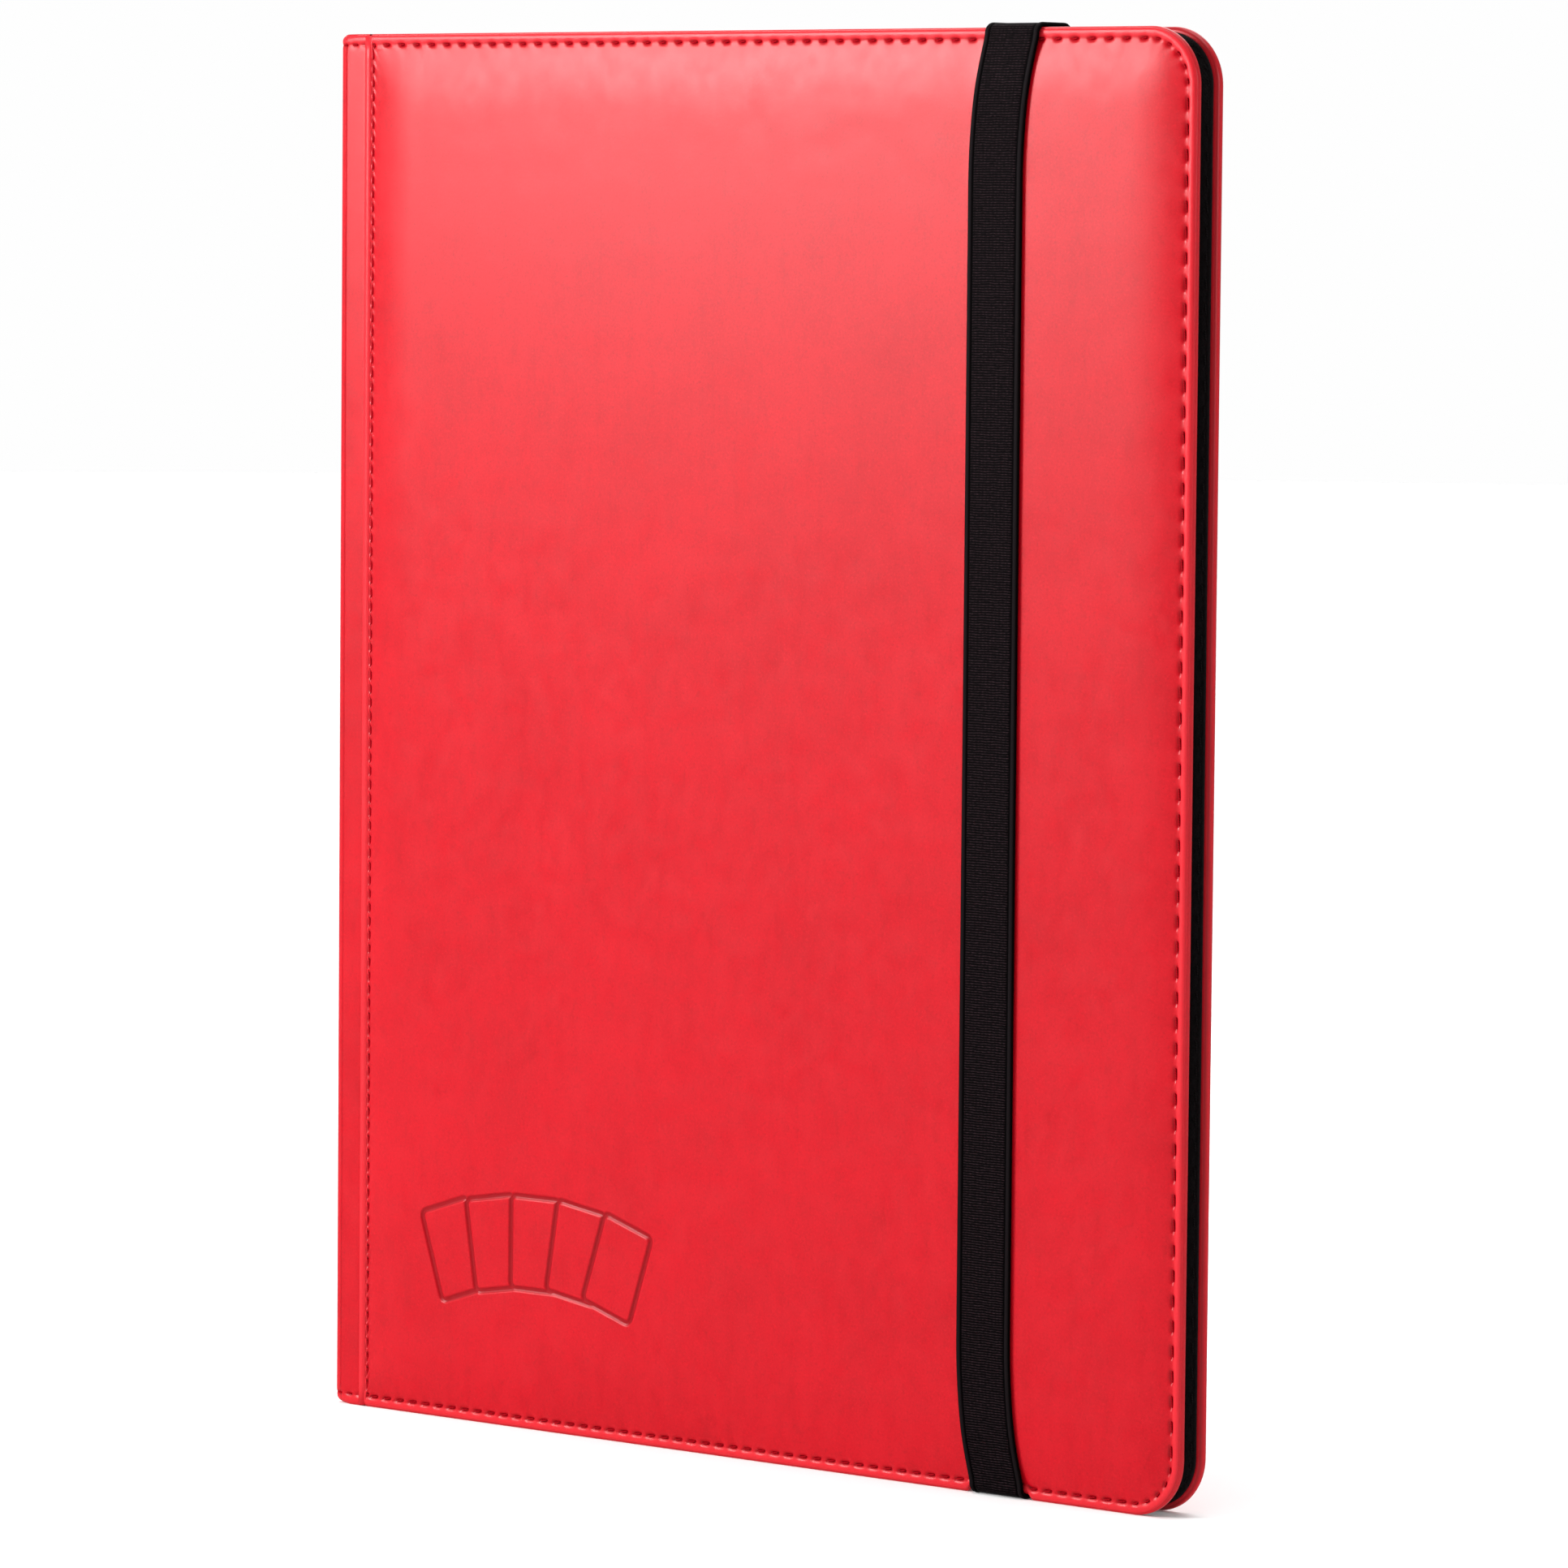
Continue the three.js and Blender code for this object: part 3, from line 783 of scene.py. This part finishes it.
# ---------------------------------------------------------------- spine
def spine_section(inset, ridge):
    """The spine's U at an inset from its outer face: points x and y, front leg to back leg."""
    r = max(SPINE_RADIUS - inset, 0.3)
    y = RIM - inset
    x = LEFT + inset
    leg = np.arange(LEG_END, LEFT + SPINE_RADIUS, -0.4)
    a = np.radians(np.linspace(270, 180, 14))
    front = np.stack([leg, np.full(len(leg), -y)], 1)
    arc = np.stack([x + r + r * np.cos(a), -y + r + r * np.sin(a)], 1)
    flat = np.stack([np.full(9, x), np.linspace(-y + r, y - r, 11)[1:-1]], 1)
    half = np.concatenate([front, arc])
    section = np.concatenate([half, flat, (half * [1, -1])[::-1]])
    if ridge:
        near = LEG_END - section[:, 0]
        section[:, 1] -= np.sign(section[:, 1]) * 0.22 * (1 - smoothstep(0.2, 1.3, near))
    return section


# The edge of the spine's leather at its head and tail: distances from the end, and heights there
SPINE_INSETS = (0, 0.06, 0.2, 0.42, 0.6, 0.85, 1.5, 2.05, 2.3, 2.7, 3.1, 3.6)
SPINE_HEIGHTS = (-0.55, -0.4, -0.3, -0.32, -0.14, 0, 0.08, 0, -0.1, -0.24, -0.1, 0)


def spine_leather():
    """The leather round the spine, turned in and stitched at its head and tail."""
    rest = (1.2, 1.6, 1.95, 2.2, 2.45, 2.7, 2.95, 3.2, 3.6, 4.4, 6, 9)
    ends = np.array(SPINE_INSETS[:6] + rest)
    middle = np.linspace(14, HEIGHT - 14, 32)
    z = np.concatenate([ends, middle, HEIGHT - ends[::-1]])
    outer = spine_section(0, True)
    length = path_length(outer)
    tangent = unit_tangent(outer)
    normal = np.stack([tangent[:, 1], -tangent[:, 0]], 1)
    if (normal[len(normal) // 2] @ [-1, 0]) < 0:
        normal = -normal
    pulled = pull(length / SPINE_PITCH, SPINE_SHARE)
    rows, rim_highlight_and_stretch, painted_shade = [], [], []
    for h in z:
        d = min(h, HEIGHT - h)
        g = float(np.interp(d, SPINE_INSETS, SPINE_HEIGHTS))
        valley = math.exp(-(((d - STITCH) / 0.55) ** 2))
        out = g + valley * (0.10 * (1 - pulled) - 0.10 * pulled)
        reach = 2.2 if h > HEIGHT / 2 else 3.2
        turned_in = 0.5 * reach * (1 - math.sqrt(1 - max(1 - d / reach, 0) ** 2))
        out = out - turned_in * smoothstep(LEFT + 7.0, LEFT + 1.0, outer[:, 0])
        plan = outer + normal * out[:, None]
        rows.append(np.column_stack([plan, np.full(len(plan), h)]))
        # The spine's rim at head and tail gets the lighter colour, partly stretched leather and partly
        # a painted highlight.
        rim_highlight_and_stretch.append(np.full(len(length), 0.4 * float(smoothstep(2.5, 1.9, d)) * (d > 0.3)))
        # Painted shade in the stitch dips across the spine.
        painted_shade.append(0.5 * valley * pulled)
    count = len(outer)
    for h in z[::-1]:
        inset = 1.95 if min(h, HEIGHT - h) < 0.9 else 0.8
        plan = spine_section(inset, False)
        rows.append(np.column_stack([plan, np.full(len(plan), h)]))
        rim_highlight_and_stretch.append(np.zeros(len(plan)))
        # Painted shade on the inside of the spine.
        painted_shade.append(np.full(len(plan), 0.3))
    total = len(rows)
    faces = strips(total + 1, count, closed=False)
    wrap = total * count
    faces = [[i % wrap for i in f] for f in faces]
    # the two long edges, from the outer skin to the inner
    for column in (0, count - 1):
        for k in range(len(z) - 1):
            a, b = k * count + column, (k + 1) * count + column
            c, e = (total - 2 - k) * count + column, (total - 1 - k) * count + column
            faces.append([a, b, c, e] if column else [e, c, b, a])
    return make(
        "spine_cover_leather",
        np.concatenate(rows),
        faces,
        RED,
        {"rim_highlight_and_stretch": np.concatenate(rim_highlight_and_stretch), "painted_shade": np.clip(np.concatenate(painted_shade), 0, 1)},
    )


def spine_stitches():
    """The stitches across the spine at its head and tail."""
    outer = spine_section(0.10, False)
    length = path_length(outer)
    paths = []
    for z in (STITCH, HEIGHT - STITCH):
        for k in range(int(length[-1] / SPINE_PITCH)):
            at = (k + np.linspace(0, SPINE_SHARE, 7)) * SPINE_PITCH
            if at[0] < 0.5 or at[-1] > length[-1] - 0.5:
                continue
            t = np.linspace(-1, 1, 7)
            sunk = 0.06 + 0.35 * t**8
            x = np.interp(at, length, outer[:, 0])
            y = np.interp(at, length, outer[:, 1])
            toward = np.stack([(LEFT + SPINE_RADIUS + 1) - x, -y], 1)
            toward /= np.linalg.norm(toward, axis=1)[:, None]
            plan = np.stack([x, y], 1) + toward * sunk[:, None]
            paths.append(np.column_stack([plan, np.full(7, z)]))
    return tubes("spine_stitches", paths, SPINE_THREAD, RED_THREAD)


piece = spine_leather()
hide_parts("spine_leather")
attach(piece, "spine")
piece = spine_stitches()
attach(piece, "spine")


def bridge(name, side, x, near, far, z0, z1, material, rim_highlight_and_stretch=0.0):
    """A thin strip across a seam, from near to far out at each x."""
    z = np.linspace(z0, z1, 60)
    loop = np.concatenate([np.stack([x, near], 1), np.stack([x, far], 1)[::-1]])
    count = len(loop)
    rows = [stand(np.stack([loop[:, 0], np.full(count, h)], 1), loop[:, 1], side) for h in z]
    faces = strips(len(z), count)
    faces.append(list(range(count))[::-1])
    faces.append([(len(z) - 1) * count + i for i in range(count)])
    if side < 0:
        faces = [f[::-1] for f in faces]
    tint = {"rim_highlight_and_stretch": np.full(count * len(z), rim_highlight_and_stretch)}
    return make(name, np.concatenate(rows), faces, material, tint)


for word, side in (("front", -1), ("back", 1)):
    lo, hi = span(word + "_hinge_cloth")
    y0, y1 = sorted((abs(float(lo[1])), abs(float(hi[1]))))
    x = np.linspace(float(lo[0]), SEAM_SIDE + 0.8, 25)
    tuck = 0.35 * smoothstep(LEG_END, SEAM_SIDE + 0.6, x)
    ends = (float(lo[2]), float(hi[2]))
    piece = bridge(word + "_hinge_lining", side, x, y0 + tuck, y1 + tuck, *ends, LINING)
    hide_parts(word + "_hinge_cloth")
    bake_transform(piece)
    x = np.linspace(LEG_END - 1.2, SEAM_SIDE + 0.62, 25)
    near = np.full(25, RIM - 0.60)
    far = RIM - 0.14 + 0.34 * (1 - np.linspace(-1, 1, 25) ** 2)
    # The seam's raised leather ridge gets the lighter rim colour: partly stretched leather, partly a
    # painted highlight.
    piece = bridge(word + "_seam_leather", side, x, near, far, 0.4, HEIGHT - 0.4, RED, 0.45)
    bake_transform(piece)


# ---------------------------------------------------------------- leaves
POCKET_W, POCKET_H, WELD, LEAF_CORNER = 69, 95, 4, 4.0


def leaf_lines(start, end, pockets):
    """Grid lines across a leaf, closer together at each pocket's edges."""
    lines = [start]
    for a, b in pockets:
        lines += [a - 0.25, a, a + 0.5]
        lines += list(np.linspace(a + 0.5, b - 0.5, 9)[1:-1])
        lines += [b - 0.5, b, b + 0.25]
    lines.append(end)
    return np.array(lines)


def leaf(name, node):
    """One leaf: a black sheet with three by three welded pockets of clear film on both faces."""
    lo, hi = span(node)
    y = float(lo[1] + hi[1]) / 2
    x0, x1 = float(lo[0]), float(hi[0])
    z0, z1 = float(lo[2]), float(hi[2])
    starts = [x1 - (c + 1) * (POCKET_W + WELD) for c in (2, 1, 0)]
    columns = [(a, a + POCKET_W) for a in starts]
    middles = [(z0 + z1) / 2 + r * (POCKET_H + WELD) for r in (-1, 0, 1)]
    rows = [(m - POCKET_H / 2, m + POCKET_H / 2) for m in middles]
    gx = leaf_lines(x0, x1, columns)
    gz = leaf_lines(z0, z1, rows)
    px, pz = (
        sum(smoothstep(a - 0.3, a + 0.3, g) * smoothstep(b + 0.3, b - 0.3, g) for a, b in pockets)
        for g, pockets in ((gx, columns), (gz, rows))
    )
    X, Z = np.meshgrid(gx, gz)
    mask = np.outer(pz, px)
    # rounded corners at the fore edge
    r = LEAF_CORNER
    inset_x = np.clip(X - (x1 - r), 0, r)
    for zc, sign in ((z0 + r, -1), (z1 - r, 1)):
        beyond = np.clip(sign * (Z - zc), 0, r)
        reach = np.sqrt(np.clip(r * r - inset_x**2, 0, None))
        Z = np.where(beyond > reach, zc + sign * reach, Z)
    thick = 0.07 + 0.06 * mask
    n = X.size
    front = np.stack([X.ravel(), (y - thick).ravel(), Z.ravel()], 1)
    back = np.stack([X.ravel(), (y + thick).ravel(), Z.ravel()], 1)
    w, h = len(gx), len(gz)
    faces = strips(h, w, closed=False)
    faces += [[i + n for i in f[::-1]] for f in strips(h, w, closed=False)]
    rim = list(range(w)) + [j * w + w - 1 for j in range(1, h)]
    rim += [(h - 1) * w + i for i in range(w - 2, -1, -1)] + [j * w for j in range(h - 2, 0, -1)]
    for a, b in zip(rim, rim[1:] + rim[:1]):
        faces.append([b, a, a + n, b + n])
    pocket = np.concatenate([mask.ravel()] * 2)
    return make(name, np.concatenate([front, back]), faces, FILM, {"pocket": pocket})


for i in range(1, 11):
    node = "leaf_%02d" % i
    piece = leaf("pocket_" + node, node)
    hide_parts(node)
    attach(piece, node)


# ---------------------------------------------------------------- strap
def strap_lift(z):
    """How far the strap's outer face stands out from the middle plane at height z."""
    d = np.minimum(z, HEIGHT - z)
    touch = 10.1
    grade = float(swell(touch + 0.5) - swell(touch)) / 0.5
    height = np.where(d > touch, swell(d), swell(touch) - grade * (touch - d))
    return RIM + height + 0.10 + STRAP_T


def strap_path():
    """The strap's outer face, from the lower sewn end round the front to the upper one.

    Returns y and z along it, and which part of the strap each point belongs to.
    """
    tail = float(end_hi[2] - end_lo[2]) + STRAP_BEND
    path, part = [], []

    def add(name, points):
        points = points if not path else points[1:]
        path.append(points)
        part.extend([name] * len(points))

    def face(name, z0, z1, side):
        z = np.linspace(z0, z1, max(2, int(abs(z1 - z0) / 1.4)))
        add(name, np.stack([side * strap_lift(z), z], 1))

    def turn(name, side, edge, sign, outward):
        """A rounded corner between a face and the edge; sign is 1 at the top."""
        r = STRAP_RADIUS
        start = edge - sign * r
        y = float(strap_lift(start))
        lean = math.atan2(y - float(strap_lift(start - sign * 0.5)), 0.5)
        a = np.linspace(lean, math.pi / 2, 12)
        cy = y - r * math.cos(lean)
        risen = (np.sin(a) - math.sin(lean)) / (1 - math.sin(lean))
        points = np.stack([side * (cy + r * np.cos(a)), start + sign * r * risen], 1)
        add(name, points if outward else points[::-1])

    low, high = STRAP_LOW + STRAP_RADIUS, STRAP_TOP - STRAP_RADIUS
    face("end_bottom", STRAP_LOW + tail, low, 1)
    turn("over_bottom", 1, STRAP_LOW, -1, True)
    y = abs(float(path[-1][-1, 0]))
    add("over_bottom", np.stack([np.linspace(y, -y, 16), np.full(16, STRAP_LOW)], 1))
    turn("over_bottom", -1, STRAP_LOW, -1, False)
    face("front", low, high, -1)
    turn("over_top", -1, STRAP_TOP, 1, True)
    add("over_top", np.stack([np.linspace(-y, y, 16), np.full(16, STRAP_TOP)], 1))
    turn("over_top", 1, STRAP_TOP, 1, False)
    face("end_top", high, STRAP_TOP - tail, 1)
    return np.concatenate(path), part


def strap_sway(z, y):
    """How far the strap's ends lie towards the fore edge."""
    gap = np.minimum(z - STRAP_LOW, STRAP_TOP - z)
    reach = 34 + STRAP_BEND
    sway = (STRAP_END_X - STRAP_X) * np.clip(1 - (gap - STRAP_BEND) / (reach - STRAP_BEND), 0, 1) ** 2
    return np.where(y < -3, sway, STRAP_END_X - STRAP_X)


# The strap's section beside one edge: distance from the edge, and height over its outer face
STRAP_EDGE = (
    (0, -0.42),
    (0.10, -0.16),
    (0.38, 0.03),
    (0.75, 0.08),
    (1.10, 0.03),
    (1.32, -0.14),
    (1.46, -0.24),
    (1.62, -0.22),
    (1.85, -0.10),
)


def strap_pieces():
    """The strap in five pieces, with a raised rib along each edge."""
    path, part = strap_path()
    tangent = unit_tangent(path)
    normal = np.stack([-tangent[:, 1], tangent[:, 0]], 1)
    middle = len(path) // 2
    if normal[middle] @ [-1, 0] < 0:
        normal = -normal
    along = path_length(path)
    half = STRAP_W / 2
    outer = [(-half + u, h) for u, h in STRAP_EDGE]
    flat = [(u, -0.08) for u in np.linspace(-half + 2.6, half - 2.6, 15)]
    outer = outer + flat + [(-u, h) for u, h in outer[::-1]]
    inner = [(half - 0.05, 0.25 - STRAP_T), (half - 0.3, -STRAP_T)]
    inner = inner + [(0, -STRAP_T)] + [(-u, h) for u, h in inner[::-1]]
    section = np.array(outer + inner)
    ridge = np.array([1.0 if abs(abs(u) - half + 0.75) < 0.5 and h > -0.2 else 0.0 for u, h in section])
    count = len(section)
    shift = strap_sway(path[:, 1], path[:, 0])
    found = {}
    for name in ("end_bottom", "over_bottom", "front", "over_top", "end_top"):
        rows = [i for i, p in enumerate(part) if p == name]
        rows = list(range(max(rows[0] - 1, 0), rows[0])) + rows
        points, across, run, ridges = [], [], [], []
        for i in rows:
            base = np.array([STRAP_X + shift[i], path[i, 0], path[i, 1]])
            out = np.array([0, normal[i, 0], normal[i, 1]])
            ring = base + section[:, :1] * [1, 0, 0] + section[:, 1:] * out
            points.append(ring)
            across.append(section[:, 0])
            run.append(np.full(count, along[i]))
            ridges.append(ridge)
        faces = strips(len(rows), count)
        if name == "end_bottom":
            faces.append(list(range(count))[::-1])
        if name == "end_top":
            faces.append([(len(rows) - 1) * count + i for i in range(count)])
        found[name] = make(
            "strap_" + name + "_elastic",
            np.concatenate(points),
            faces,
            ELASTIC,
            {
                "across": np.concatenate(across),
                "along": np.concatenate(run),
                "ridge": np.concatenate(ridges),
            },
        )
    return found


for name, piece in strap_pieces().items():
    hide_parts("strap_" + name)
    if name.startswith("end"):
        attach(piece, "back_cover")
    elif name == "front":
        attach(piece, "strap")
    else:
        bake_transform(piece)


def box_stitch(name, low, high):
    """A sewn square with a cross in it, that holds one end of the strap."""
    x0, x1 = STRAP_END_X - 5.2, STRAP_END_X + 5.2
    corners = [(x0, low), (x1, low), (x1, high), (x0, high)]
    runs = list(zip(corners, corners[1:] + corners[:1]))
    runs += [(corners[0], corners[2]), (corners[1], corners[3])]
    paths = []
    for (ax, az), (bx, bz) in runs:
        length = math.hypot(bx - ax, bz - az)
        whole = max(2, round(length / 2.6))
        for k in range(whole):
            t = (k + np.linspace(0.08, 0.86, 6)) / whole
            s = np.linspace(-1, 1, 6)
            rise = strap_lift(az + (bz - az) * t) - 0.12 - 0.2 * s**8
            paths.append(np.stack([ax + (bx - ax) * t, rise, az + (bz - az) * t], 1))
    return tubes(name, paths, BOX_THREAD, BLACK_THREAD)


end_low = float(end_lo[2])
for name, low, high in (
    ("strap_stitches_top", end_low + 1.6, end_low + 12.0),
    ("strap_stitches_bottom", HEIGHT - end_low - 12.0, HEIGHT - end_low - 1.6),
):
    piece = box_stitch(name, low, high)
    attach(piece, "back_cover")


# ---------------------------------------------------------------- CAD nodes that stay
for node, material in (
    ("front_foam", FOAM),
    ("back_foam", FOAM),
    ("front_hinge_filler", FOAM),
    ("back_hinge_filler", FOAM),
    ("front_board", BOARD),
    ("back_board", BOARD),
    ("spine_board", BOARD),
    ("spine_lining", LINING),
    ("page_binding", MOULDED),
):
    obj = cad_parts[node]
    obj.data.materials.clear()
    obj.data.materials.append(material)


# ---------------------------------------------------------------- stage, light and camera
def floor_material():
    n = Nodes("pale_floor")
    shade = n.noise(n.place(), 0.01, 2, 0.5)
    tone = n.mix(shade, rgb(250, 250, 250), rgb(254, 254, 254))
    return n.finish(
        Base_Color=tone,
        Roughness=0.9,
        Emission_Color=rgb(254, 254, 254),
        Emission_Strength=0.08,
    )


def disc(name, rings, material):
    """A round surface from (radius, height) rings, in millimetres."""
    count = 96
    a = np.arange(count) * math.tau / count
    rows = [np.stack([r * np.cos(a), r * np.sin(a), np.full(count, h)], 1) for r, h in rings]
    faces = strips(len(rows), count)
    faces.append(list(range(count))[::-1])
    return make(name, np.concatenate(rows), faces, material)


FAR = 7000
floor = disc("floor", [(600, 0), (2000, 0), (FAR, 0)], floor_material())
floor.visible_glossy = False

# A pale backdrop all round, which only the camera sees
surround = Nodes("pale_backdrop")
surround.finish(
    Base_Color=(0, 0, 0, 1),
    Emission_Color=rgb(254, 254, 254),
    Emission_Strength=1.0,
    Specular_IOR_Level=0.0,
)
slopes = np.radians(np.linspace(-4, 89, 24))
wall = [(FAR * math.cos(a), FAR * math.sin(a) - 200) for a in slopes]
backdrop = disc("backdrop", wall, surround.mat)
backdrop.visible_diffuse = False
backdrop.visible_glossy = False
backdrop.visible_transmission = False
backdrop.visible_shadow = False

# The room: brighter above and to the left, darker in front and to the right
world = bpy.data.worlds.new("studio")
bpy.context.scene.world = world
world.use_nodes = True
tree = world.node_tree
background = tree.nodes["Background"]
place = tree.nodes.new("ShaderNodeTexCoord")
toward = tree.nodes.new("ShaderNodeVectorMath")
toward.operation = "DOT_PRODUCT"
toward.inputs[1].default_value = (-0.60, 0.50, 0.62)
level_of = tree.nodes.new("ShaderNodeMapRange")
for key, value in (("From Min", -0.5), ("From Max", 0.9), ("To Min", 0.13), ("To Max", 0.52)):
    level_of.inputs[key].default_value = value
tree.links.new(place.outputs["Generated"], toward.inputs[0])
tree.links.new(toward.outputs["Value"], level_of.inputs["Value"])
tree.links.new(level_of.outputs["Result"], background.inputs["Strength"])
background.inputs["Color"].default_value = (1, 1, 1, 1)


def area_light(name, at, target, size_x, size_y, power):
    data = bpy.data.lights.new(name, "AREA")
    data.shape = "RECTANGLE"
    data.size, data.size_y = size_x, size_y
    data.energy = power
    obj = bpy.data.objects.new(name, data)
    bpy.context.scene.collection.objects.link(obj)
    obj.location = at
    obj.rotation_mode = "QUATERNION"
    obj.rotation_quaternion = (Vector(target) - Vector(at)).to_track_quat("-Z", "Y")
    return obj


# The key lights without a highlight; the sheen and the lip light only make highlights
key = area_light("key", (-1.48, -1.77, 1.0), (0.03, 0, 0.22), 0.8, 0.75, 67)
key.visible_glossy = False
sheen = area_light("sheen", (-0.53, -0.66, 0.55), (0, 0, 0.27), 0.36, 0.48, 9.5)
sheen.visible_diffuse = False
lip = area_light("lip", (1.28, -0.25, 0.55), (0.13, 0, 0.2), 0.4, 0.6, 3.5)
lip.visible_diffuse = False
area_light("side", (1.3, 0.1, 0.62), (0.13, 0, 0.22), 0.3, 0.5, 1.6)
area_light("back", (-0.5, 0.9, 0.9), (0, 0, 0.2), 0.8, 0.8, 4)

sun = bpy.data.lights.new("above", "SUN")
sun.energy = 1.95
sun.angle = math.radians(50)
bpy.context.scene.collection.objects.link(bpy.data.objects.new("above", sun))

camera_data = bpy.data.cameras.new("camera")
camera = bpy.data.objects.new("camera", camera_data)
bpy.context.scene.collection.objects.link(camera)
bpy.context.scene.camera = camera
azimuth, elevation, roll = (math.radians(a) for a in (39.69, 4.18, 0.50))
level = Vector((math.cos(azimuth), math.sin(azimuth), 0))
forward = Vector((-math.sin(azimuth), math.cos(azimuth), 0))
ahead = forward * math.cos(elevation) - Vector((0, 0, math.sin(elevation)))
above = level.cross(ahead)
right = level * math.cos(roll) + above * math.sin(roll)
up = above * math.cos(roll) - level * math.sin(roll)
turn = Matrix((right, up, -ahead)).transposed()
camera.matrix_world = Matrix.Translation((1.1890, -1.4223, 0.2970)) @ turn.to_4x4()
camera_data.sensor_width = 36
camera_data.lens = 179.33
camera_data.clip_start = 0.05
camera_data.clip_end = 50

scene = bpy.context.scene
scene.view_settings.view_transform = "Standard"
scene.view_settings.look = "None"
